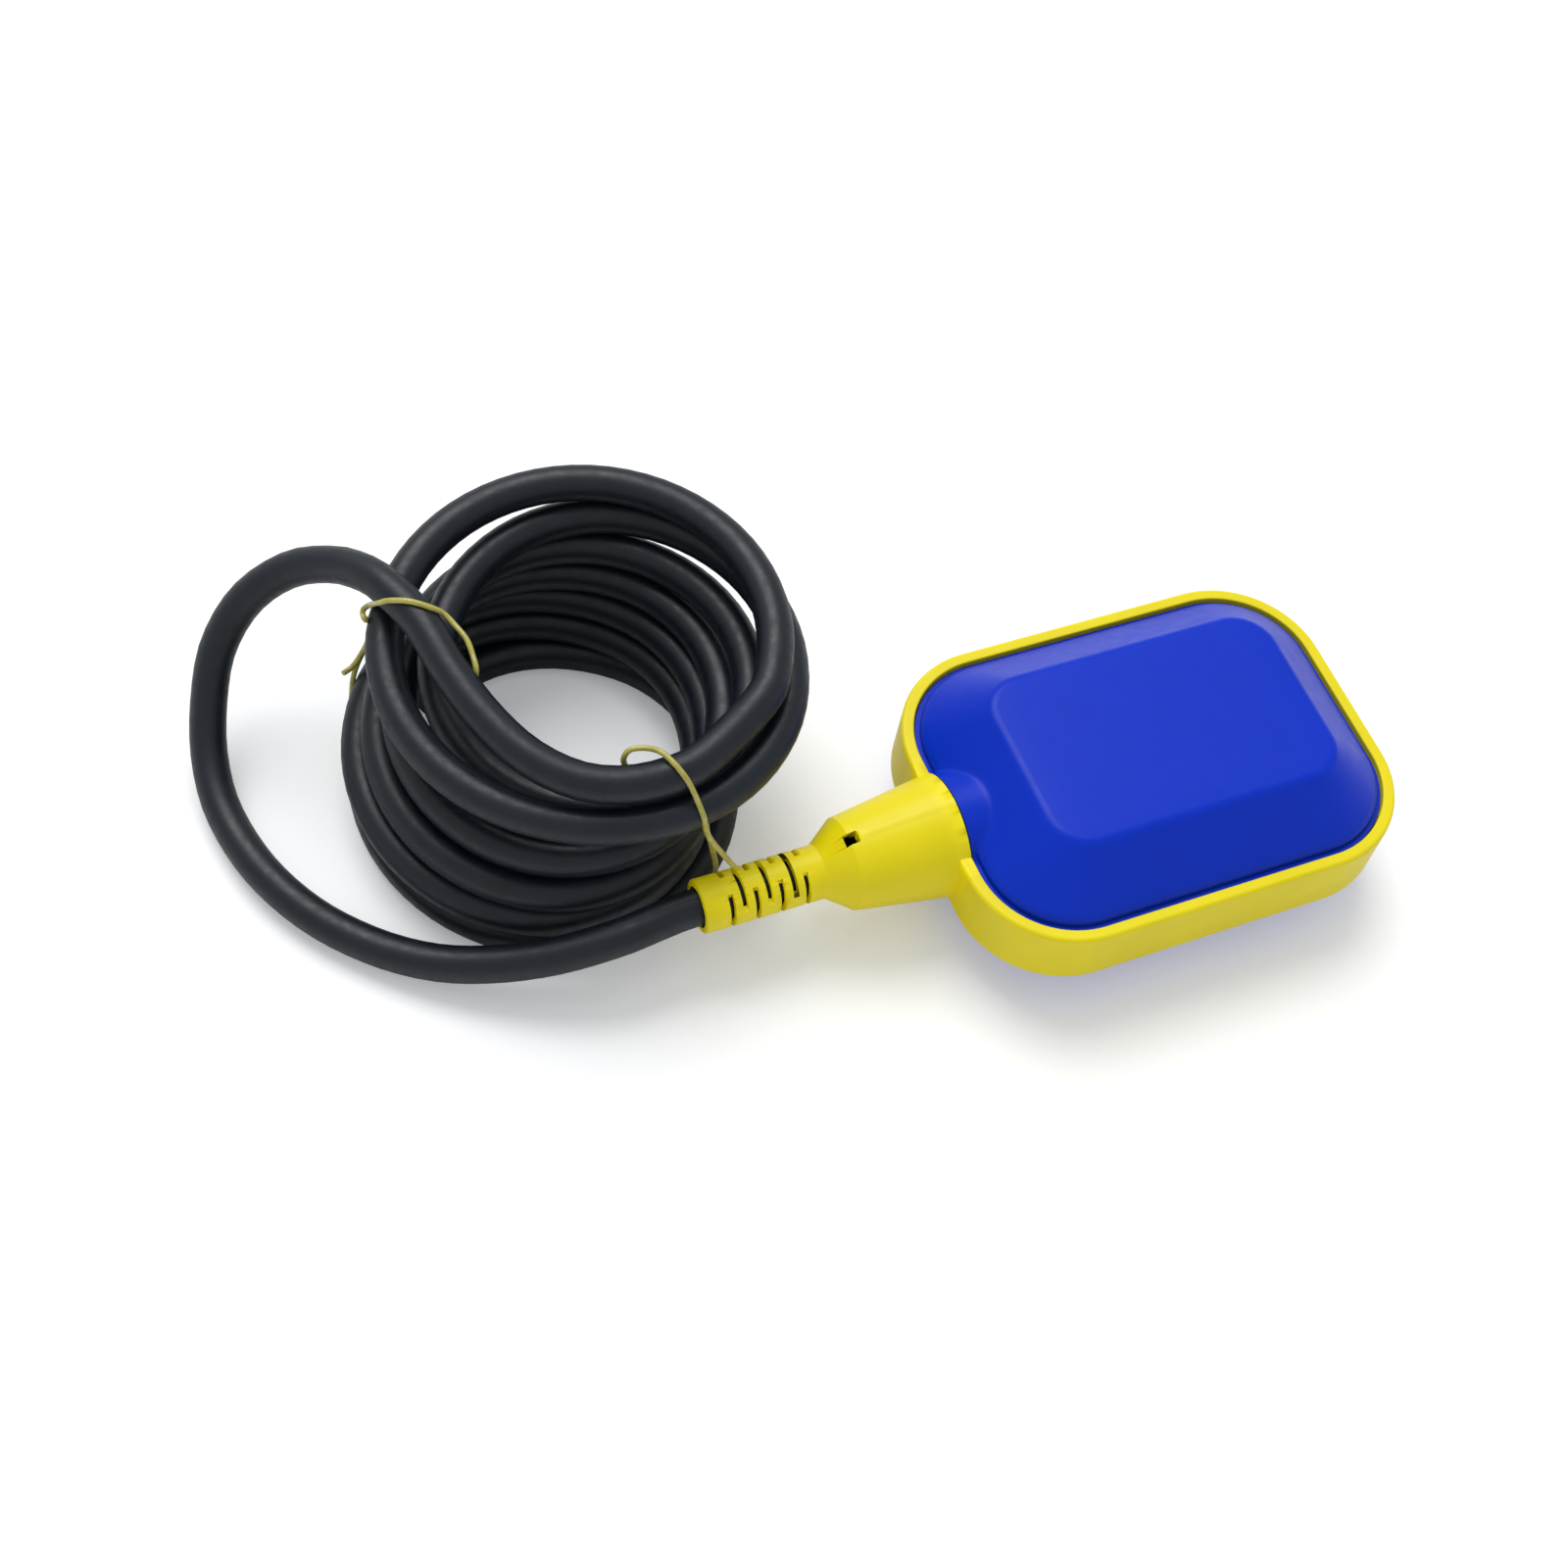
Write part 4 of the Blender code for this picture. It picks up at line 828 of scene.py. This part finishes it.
@dataclass
class FloatCover:
    """One blue cover: a stepped shell whose sloping sides rise to a flat, with a hump behind the neck."""

    sizes: FloatSizes
    side: Side
    wall: float = 2.4 * MM
    groove_width: float = 1.2 * MM
    groove_depth: float = 1.3 * MM
    lip: float = 0.3 * MM
    lip_round: float = 0.35 * MM
    lip_drop: float = 0.25
    lip_lean: float = 0.0105
    slope_from: float = 0.03
    edge_round: float = 1.3 * MM
    flat_length: float = 73.0 * MM
    flat_width: float = 46.0 * MM
    flat_corner: float = 9.2 * MM
    flat_shift: float = 0.5 * MM
    hump_blend: float = 0.6 * MM
    hollow_reach: float = 6.0 * MM
    hollow_steps: int = 96
    corner_steps: int = 22
    straight_steps: int = 44
    slope_steps: int = 26
    bend_steps: int = 7
    flat_rings: tuple[float, ...] = (0.15, 0.3, 0.45, 0.6, 0.75, 0.9)
    sharp: float = 40.0

    @property
    def top(self) -> float:
        """The height of the flat."""
        return self.sizes.height / 2

    @property
    def ledge(self) -> float:
        """The height of the groove's floor."""
        return self.sizes.band / 2 - self.groove_depth

    @property
    def lip_z(self) -> float:
        """The height at which the slope starts."""
        return self.sizes.band / 2 + self.lip

    @property
    def outer_inset(self) -> float:
        """How far the cover's edge lies inside the band's outer face."""
        return self.sizes.rim + self.sizes.gap

    @property
    def lip_inset(self) -> float:
        """How far the foot of the slope lies inside the band's outer face."""
        return self.outer_inset + self.groove_width

    @property
    def run(self) -> float:
        """How far the slope runs inwards at the float's long sides."""
        return (self.sizes.width - 2 * self.lip_inset - self.flat_width) / 2

    def flat(self, inset: float = 0.0) -> Outline:
        """The outline of the flat, moved in from its edge."""
        return outline(
            self.flat_length - 2 * inset,
            self.flat_width - 2 * inset,
            self.flat_corner - inset,
            self.corner_steps,
            self.straight_steps,
            self.flat_shift,
        )

    def shell(self, inset: float) -> Outline:
        """The float's outline at this inset, with the cover's own steps."""
        return self.sizes.inset(inset, self.corner_steps, self.straight_steps)

    def hump(self, x: float, y: float, z: float) -> float:
        """The height of the outer face where the hump may raise it."""
        radius = self.sizes.neck_start - self.sizes.gap
        if abs(y) >= radius or x > -self.flat_length / 2 + self.flat_shift:
            return z
        rise = math.sqrt(radius * radius - y * y)
        return (rise + z + math.hypot(rise - z, self.hump_blend)) / 2

    def outer_sections(self) -> list[tuple[Outline, float]]:
        """The outer face as outlines with heights, from the ledge's outer edge up to the flat's middle."""
        ledge, lip_z, top = self.ledge, self.lip_z, self.top
        lip = self.shell(self.lip_inset)
        flat = self.flat()
        sections = [(self.shell(self.outer_inset), ledge), (lip, ledge), (lip, lip_z - self.lip_round)]
        sections.append((between(lip, flat, self.lip_lean), lip_z - self.lip_drop * self.lip_round))
        share = self.edge_round / math.hypot(self.run, top - lip_z)
        for step in range(1, self.slope_steps + 1):
            t = self.slope_from + (1 - share - self.slope_from) * step / self.slope_steps
            sections.append((between(lip, flat, t), lip_z + (top - lip_z) * t))
        start = between(lip, flat, 1 - share)
        start_z = lip_z + (top - lip_z) * (1 - share)
        inner = self.flat(self.edge_round)
        for step in range(1, self.bend_steps + 1):
            t = step / self.bend_steps
            bend = between(between(start, flat, t), between(flat, inner, t), t)
            sections.append((bend, start_z + (top - start_z) * (2 * t - t * t)))
        for inset in self.flat_rings:
            sections.append(([(x + (self.flat_shift - x) * inset, y * (1 - inset)) for x, y in inner], top))
        return sections

    def inner_sections(self) -> list[tuple[Outline, float]]:
        """The inside and the skirt as outlines with heights, from the inside of the flat outwards."""
        skirt = self.sizes.web_thickness / 2 + self.sizes.gap
        ceiling = self.ledge - self.wall
        shift = self.wall * math.tan(math.atan2(self.top - self.lip_z, self.run) / 2)
        inside = self.shell(self.lip_inset + self.wall)
        skirt_inside = self.shell(self.outer_inset + self.wall)
        return [
            (self.flat(shift), self.top - self.wall),
            (inside, self.lip_z - shift),
            (inside, ceiling),
            (skirt_inside, ceiling - self.groove_width),
            (skirt_inside, skirt),
            (self.shell(self.outer_inset), skirt),
        ]

    def hollow(self) -> bpy.types.Object:
        """The opening behind the neck, as a helper."""
        radius = self.sizes.neck_start - self.sizes.gap - self.wall
        front = -self.sizes.length / 2 + self.sizes.rim
        back = front + radius + self.hollow_reach
        front -= OVERREACH
        profile = [(front, 0.0), (front, radius), (back, radius), (back, 0.0)]
        return ring_object("hump_hollow", turned_rings(profile, self.hollow_steps))

    def build(self, wardrobe: Wardrobe) -> bpy.types.Object:
        """Builds the cover, dressed from the wardrobe."""
        name = f"{self.side.name.lower()}_float_cover"
        rings = [[Vector((x, y, z)) for x, y in points] for points, z in self.inner_sections()]
        for points, z in self.outer_sections():
            rings.append([Vector((x, y, self.hump(x, y, z))) for x, y in points])
        rings.append([Vector((self.flat_shift, 0.0, self.top))])
        cover = ring_object(name, rings, closed=False, sharp=self.sharp)
        hollow = self.hollow()
        combine(cover, hollow, "DIFFERENCE")
        apply_shape(cover, [hollow], self.sharp)
        turn = Matrix.Translation(MIDDLE)
        if self.side is Side.LOWER:
            turn = turn @ Matrix.Rotation(math.pi, 4, "X")
        cover.data.transform(turn)
        settle(cover, Slot.BLUE_PLASTIC, wardrobe, (f"{self.side.name.lower()}_cover",))
        return cover


# The cable


@dataclass(frozen=True)
class Turn:
    """One turn of the coil: its height, and how far its sides keep from the middle, in millimetres."""

    height: float
    near: float
    right: float
    far: float
    left: float


@dataclass
class Cable:
    """The cable: out of the bend relief, round the left of the coil, over it, and down its turns.

    The places along its middle line are in millimetres.
    """

    diameter: float = 8.5 * MM
    spacing: float = 4.0 * MM
    resolution: int = 7
    length: float = field(default=0.0, init=False)
    exit: Point = (-83.4 * MM, 0.0, 20.75 * MM)
    exit_x: float = -83.4
    seam_x: float = -56.4
    seam_overlap: float = 0.2
    lead_x: tuple[float, float] = (-31.1, -44.0)
    right: tuple[float, float] = (0.843, -0.538)
    away: tuple[float, float] = (0.538, 0.843)
    middle: tuple[float, float] = (-91.0, 53.2)
    first_turn: float = 0.235
    last_turn: float = 6.72
    steps_per_turn: int = 28
    route: tuple[Point, ...] = (
        (-92.5, -0.6, 20.6),
        (-102.5, -1.2, 19.6),
        (-116.2, 1.2, 15.2),
        (-129.2, 6.2, 10.4),
        (-140.6, 12.8, 6.8),
        (-151.6, 22.0, 5.0),
        (-161.8, 34.0, 4.7),
        (-169.3, 48.9, 4.9),
        (-172.8, 65.7, 4.9),
        (-172.3, 78.8, 8.3),
        (-169.1, 89.3, 15.3),
        (-164.0, 97.2, 24.5),
        (-155.7, 101.0, 34.4),
        (-145.8, 99.3, 43.4),
        (-137.6, 93.1, 49.9),
        (-132.9, 86.3, 54.0),
        (-129.7, 79.3, 56.6),
        (-125.6, 67.0, 57.8),
        (-123.1, 53.0, 56.3),
        (-119.4, 40.3, 54.8),
        (-113.8, 29.1, 53.6),
        (-105.7, 20.8, 52.7),
        (-96.2, 16.7, 52.3),
        (-85.2, 16.1, 52.1),
        (-76.0, 18.7, 52.1),
    )
    turns: tuple[Turn, ...] = (
        Turn(52.1, 35.1, 40.1, 46.2, 45.4),
        Turn(44.1, 41.4, 45.2, 44.2, 34.4),
        Turn(36.4, 32.0, 36.5, 40.0, 41.8),
        Turn(28.3, 41.0, 31.8, 37.3, 45.8),
        Turn(20.3, 45.4, 29.8, 34.8, 50.3),
        Turn(12.3, 47.3, 28.0, 32.4, 48.9),
        Turn(4.3, 48.0, 34.0, 31.6, 40.6),
    )

    def reach(self, turns: float) -> float:
        """The coil's radius after this many turns, smoothly through the turns' four sides."""
        sides = [side for turn in self.turns for side in (turn.near, turn.right, turn.far, turn.left)]
        padded = [2 * sides[0] - sides[1], *sides, sides[-1], sides[-1]]
        place = int(4 * turns)
        return glide(*padded[place : place + 4], 4 * turns - place)

    def at(self, turns: float) -> Vector:
        """The coil's middle line after this many turns, level but for each turn's left side."""
        whole = int(turns)
        this, below = self.turns[whole], self.turns[min(whole + 1, len(self.turns) - 1)]
        share = max(0.0, 2 * (turns - whole) - 1)
        height = this.height + (below.height - this.height) * share * share * (3 - 2 * share)
        angle = math.tau * (turns - 0.25)
        across = self.reach(turns) * math.cos(angle)
        along = self.reach(turns) * math.sin(angle)
        x = self.middle[0] + across * self.right[0] + along * self.away[0]
        y = self.middle[1] + across * self.right[1] + along * self.away[1]
        return Vector((x, y, height))

    def middle_line(self) -> list[Vector]:
        """The free cable's middle line, from just inside the bend relief to its end in the coil."""
        height = self.exit[2] / MM
        points = [Vector((self.seam_x, 0.0, height)), Vector((self.exit_x, 0.0, height))]
        points += [Vector(point) for point in self.route]
        count = round((self.last_turn - self.first_turn) * self.steps_per_turn)
        for step in range(count + 1):
            points.append(self.at(self.first_turn + (self.last_turn - self.first_turn) * step / count))
        return [point * MM for point in points]

    def build(self, wardrobe: Wardrobe) -> bpy.types.Object:
        """Lays the cable, keeps its length, and lays the short length of it inside the neck."""
        line = smooth_route(self.middle_line(), self.spacing)
        self.length = sum((b - a).length for a, b in zip(line, line[1:]))
        cable = tube("coiled_cable", line, self.diameter / 2, self.resolution)
        settle(cable, Slot.CABLE_JACKET, wardrobe, ("cable_run", "cable_coil"))
        places = (*self.lead_x, self.seam_x + self.seam_overlap)
        inner = [Vector((x * MM, 0.0, self.exit[2])) for x in places]
        lead = tube("cable_in_neck", inner, self.diameter / 2, self.resolution)
        settle(lead, Slot.CABLE_JACKET, wardrobe)
        return cable


@dataclass
class WireTie:
    """A plastic-coated wire that wraps the coil, with its ends crossed.

    A station is an angle in degrees, a distance from the coil's leaning middle line, and a height, both
    in millimetres.
    """

    name: str
    node: str
    stations: tuple[Point, ...]
    thickness: float = 1.3 * MM
    spacing: float = 1.2 * MM
    resolution: int = 4
    centre: tuple[float, float] = (-92.8, 50.8)
    lean: tuple[float, float] = (3.2, 6.0)
    height: float = 35.7

    def middle_line(self) -> list[Vector]:
        """The stations as points."""
        points = []
        for angle, radius, height in self.stations:
            turn = math.radians(angle)
            share = height / self.height
            x = self.centre[0] + self.lean[0] * share + radius * math.cos(turn)
            y = self.centre[1] + self.lean[1] * share + radius * math.sin(turn)
            points.append(Vector((x, y, height)) * MM)
        return points

    def build(self, wardrobe: Wardrobe) -> bpy.types.Object:
        """Bends the tie, dressed from the wardrobe."""
        line = smooth_route(self.middle_line(), self.spacing)
        tie = tube(self.name, line, self.thickness / 2, self.resolution)
        settle(tie, Slot.TIE_WIRE, wardrobe, (self.node,))
        return tie


LEFT_TIE = (
    (149.3, 56.0, 22.0),
    (146.5, 54.3, 22.0),
    (143.0, 52.6, 25.0),
    (143.5, 50.8, 32.0),
    (148.0, 49.6, 40.0),
    (160.1, 49.7, 50.0),
    (156.4, 50.6, 49.2),
    (156.6, 49.1, 51.2),
    (164.3, 46.7, 58.9),
    (166.2, 44.7, 61.0),
    (168.8, 40.7, 62.5),
    (171.3, 36.7, 62.1),
    (171.6, 33.6, 60.0),
    (177.1, 31.5, 59.1),
    (184.2, 30.4, 59.0),
    (191.1, 30.7, 58.2),
    (197.3, 31.9, 57.5),
    (196.0, 32.0, 52.0),
    (190.0, 30.0, 46.0),
    (184.0, 29.3, 40.5),
    (181.0, 29.6, 35.0),
    (180.0, 36.0, 29.5),
    (179.0, 41.5, 23.0),
    (178.5, 43.5, 16.0),
    (177.5, 43.6, 8.0),
    (175.0, 44.5, 2.6),
    (169.0, 47.0, 1.6),
    (163.0, 49.5, 2.4),
    (156.0, 53.2, 5.5),
    (150.0, 53.9, 12.0),
    (145.5, 54.4, 18.5),
    (143.0, 52.0, 27.0),
    (143.5, 50.9, 34.0),
)
RIGHT_TIE = (
    (-72.7, 54.6, 28.0),
    (-75.6, 53.0, 32.5),
    (-78.5, 51.6, 37.0),
    (-80.6, 51.4, 41.5),
    (-82.2, 52.2, 46.5),
    (-82.8, 50.2, 49.0),
    (-84.6, 48.5, 53.3),
    (-86.2, 47.3, 55.9),
    (-87.9, 44.3, 57.1),
    (-89.8, 40.7, 56.8),
    (-93.2, 38.2, 55.9),
    (-98.3, 37.7, 55.6),
    (-100.2, 38.0, 53.2),
    (-98.0, 37.8, 49.0),
    (-96.0, 33.5, 43.0),
    (-95.0, 29.4, 37.5),
    (-94.0, 29.6, 34.0),
    (-93.5, 34.0, 28.5),
    (-93.0, 35.6, 20.0),
    (-92.5, 35.6, 12.0),
    (-92.0, 36.8, 6.0),
    (-90.0, 38.0, 1.2),
    (-82.0, 41.0, 0.75),
    (-75.0, 43.8, 1.2),
    (-72.5, 45.0, 6.0),
    (-71.5, 46.0, 13.0),
    (-71.9, 48.7, 20.0),
    (-75.1, 48.8, 30.2),
    (-79.0, 50.4, 38.5),
    (-81.0, 51.8, 43.5),
)


# What the covers hide


@dataclass(frozen=True)
class InnerWorks:
    """The seals, the switch chamber and everything in it, which keep their solids."""

    wardrobe: Wardrobe

    def dress(self) -> None:
        """Gives each solid the finish of its slot in the record."""
        entries = frame["record"]["subparts"]
        for entry in entries:
            node = frame["nodes"][entry["node"]]
            self.wardrobe.dress(node, Slot(entry["material_slot"]))
        LOG.info("%d solids dressed", len(entries))


# The studio


@dataclass(frozen=True)
class Studio:
    """A plain pale floor, an even surround with soft light from behind, and the camera."""

    floor_half: float = 4.0
    floor_steps: int = 16
    focal: float = 56.25
    sensor: float = 36.0
    nearest: float = 0.01
    eye: Point = (-0.2199, -0.2380, 0.4901)
    forward: Point = (0.2971, 0.4655, -0.8337)
    yaw: float = 32.55
    roll: float = 12.21
    world_strength: float = 0.56
    world_seen: float = 1.04
    key_strength: float = 1.8
    key_angle: float = 40.0
    key_from: Point = (-0.01, 0.62, 1.0)

    def floor(self) -> None:
        """Lays the floor as a wide flat sheet."""
        shape = bmesh.new()
        steps = self.floor_steps
        bmesh.ops.create_grid(shape, x_segments=steps, y_segments=steps, size=self.floor_half)
        floor = new_object("studio_floor", mesh_from("studio_floor", shape))
        floor.data.materials.append(PaleFloor().build("pale_floor"))

    def light(self) -> None:
        """Sets the even surround and the soft key light."""
        world = bpy.data.worlds.new("studio_surround")
        bpy.context.scene.world = world
        world.use_nodes = True
        background = world.node_tree.nodes["Background"]
        background.inputs["Color"].default_value = COOL_WHITE
        links = world.node_tree.links
        seen = world.node_tree.nodes.new("ShaderNodeMath")
        seen.operation = "MULTIPLY_ADD"
        seen.inputs[1].default_value = self.world_seen - self.world_strength
        seen.inputs[2].default_value = self.world_strength
        path = world.node_tree.nodes.new("ShaderNodeLightPath")
        links.new(path.outputs["Is Camera Ray"], seen.inputs[0])
        links.new(seen.outputs["Value"], background.inputs["Strength"])
        lamp = bpy.data.lights.new("key_light", "SUN")
        lamp.energy = self.key_strength
        lamp.angle = math.radians(self.key_angle)
        key = bpy.data.objects.new("key_light", lamp)
        bpy.context.scene.collection.objects.link(key)
        key.rotation_euler = Vector(self.key_from).to_track_quat("Z", "Y").to_euler()

    def camera(self) -> None:
        """Stands the camera where the photograph was taken."""
        yaw, roll = math.radians(self.yaw), math.radians(self.roll)
        forward = Vector(self.forward).normalized()
        level = Vector((math.cos(yaw), -math.sin(yaw), 0.0))
        upright = level.cross(forward)
        right = math.cos(roll) * level + math.sin(roll) * upright
        up = -math.sin(roll) * level + math.cos(roll) * upright
        lens = bpy.data.cameras.new("camera")
        lens.lens = self.focal
        lens.sensor_width = self.sensor
        lens.clip_start = self.nearest
        stand = bpy.data.objects.new("camera", lens)
        bpy.context.scene.collection.objects.link(stand)
        turn = Matrix((right, up, -forward)).transposed().to_4x4()
        stand.matrix_world = Matrix.Translation(Vector(self.eye)) @ turn
        bpy.context.scene.camera = stand

    def build(self) -> None:
        """Builds the floor, the light and the camera."""
        bpy.context.scene.view_settings.view_transform = "Standard"
        self.floor()
        self.light()
        self.camera()
        LOG.info("studio ready")


def main() -> None:
    """Builds the studio, the cable, the float and what it holds."""
    logging.basicConfig(level=logging.INFO, format="%(message)s")
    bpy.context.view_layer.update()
    Studio().build()
    wardrobe = Wardrobe()
    InnerWorks(wardrobe).dress()
    cable = Cable()
    laid = cable.build(wardrobe)
    ties = [
        WireTie("left_wire_tie", "wire_tie_left", LEFT_TIE).build(wardrobe),
        WireTie("right_wire_tie", "wire_tie_right", RIGHT_TIE).build(wardrobe),
    ]
    LOG.info("cable length %.3f m", cable.length)
    sizes = FloatSizes()
    FloatFrame(sizes).build(wardrobe)
    for side in Side:
        FloatCover(sizes, side).build(wardrobe)


if __name__ == "__main__":
    main()
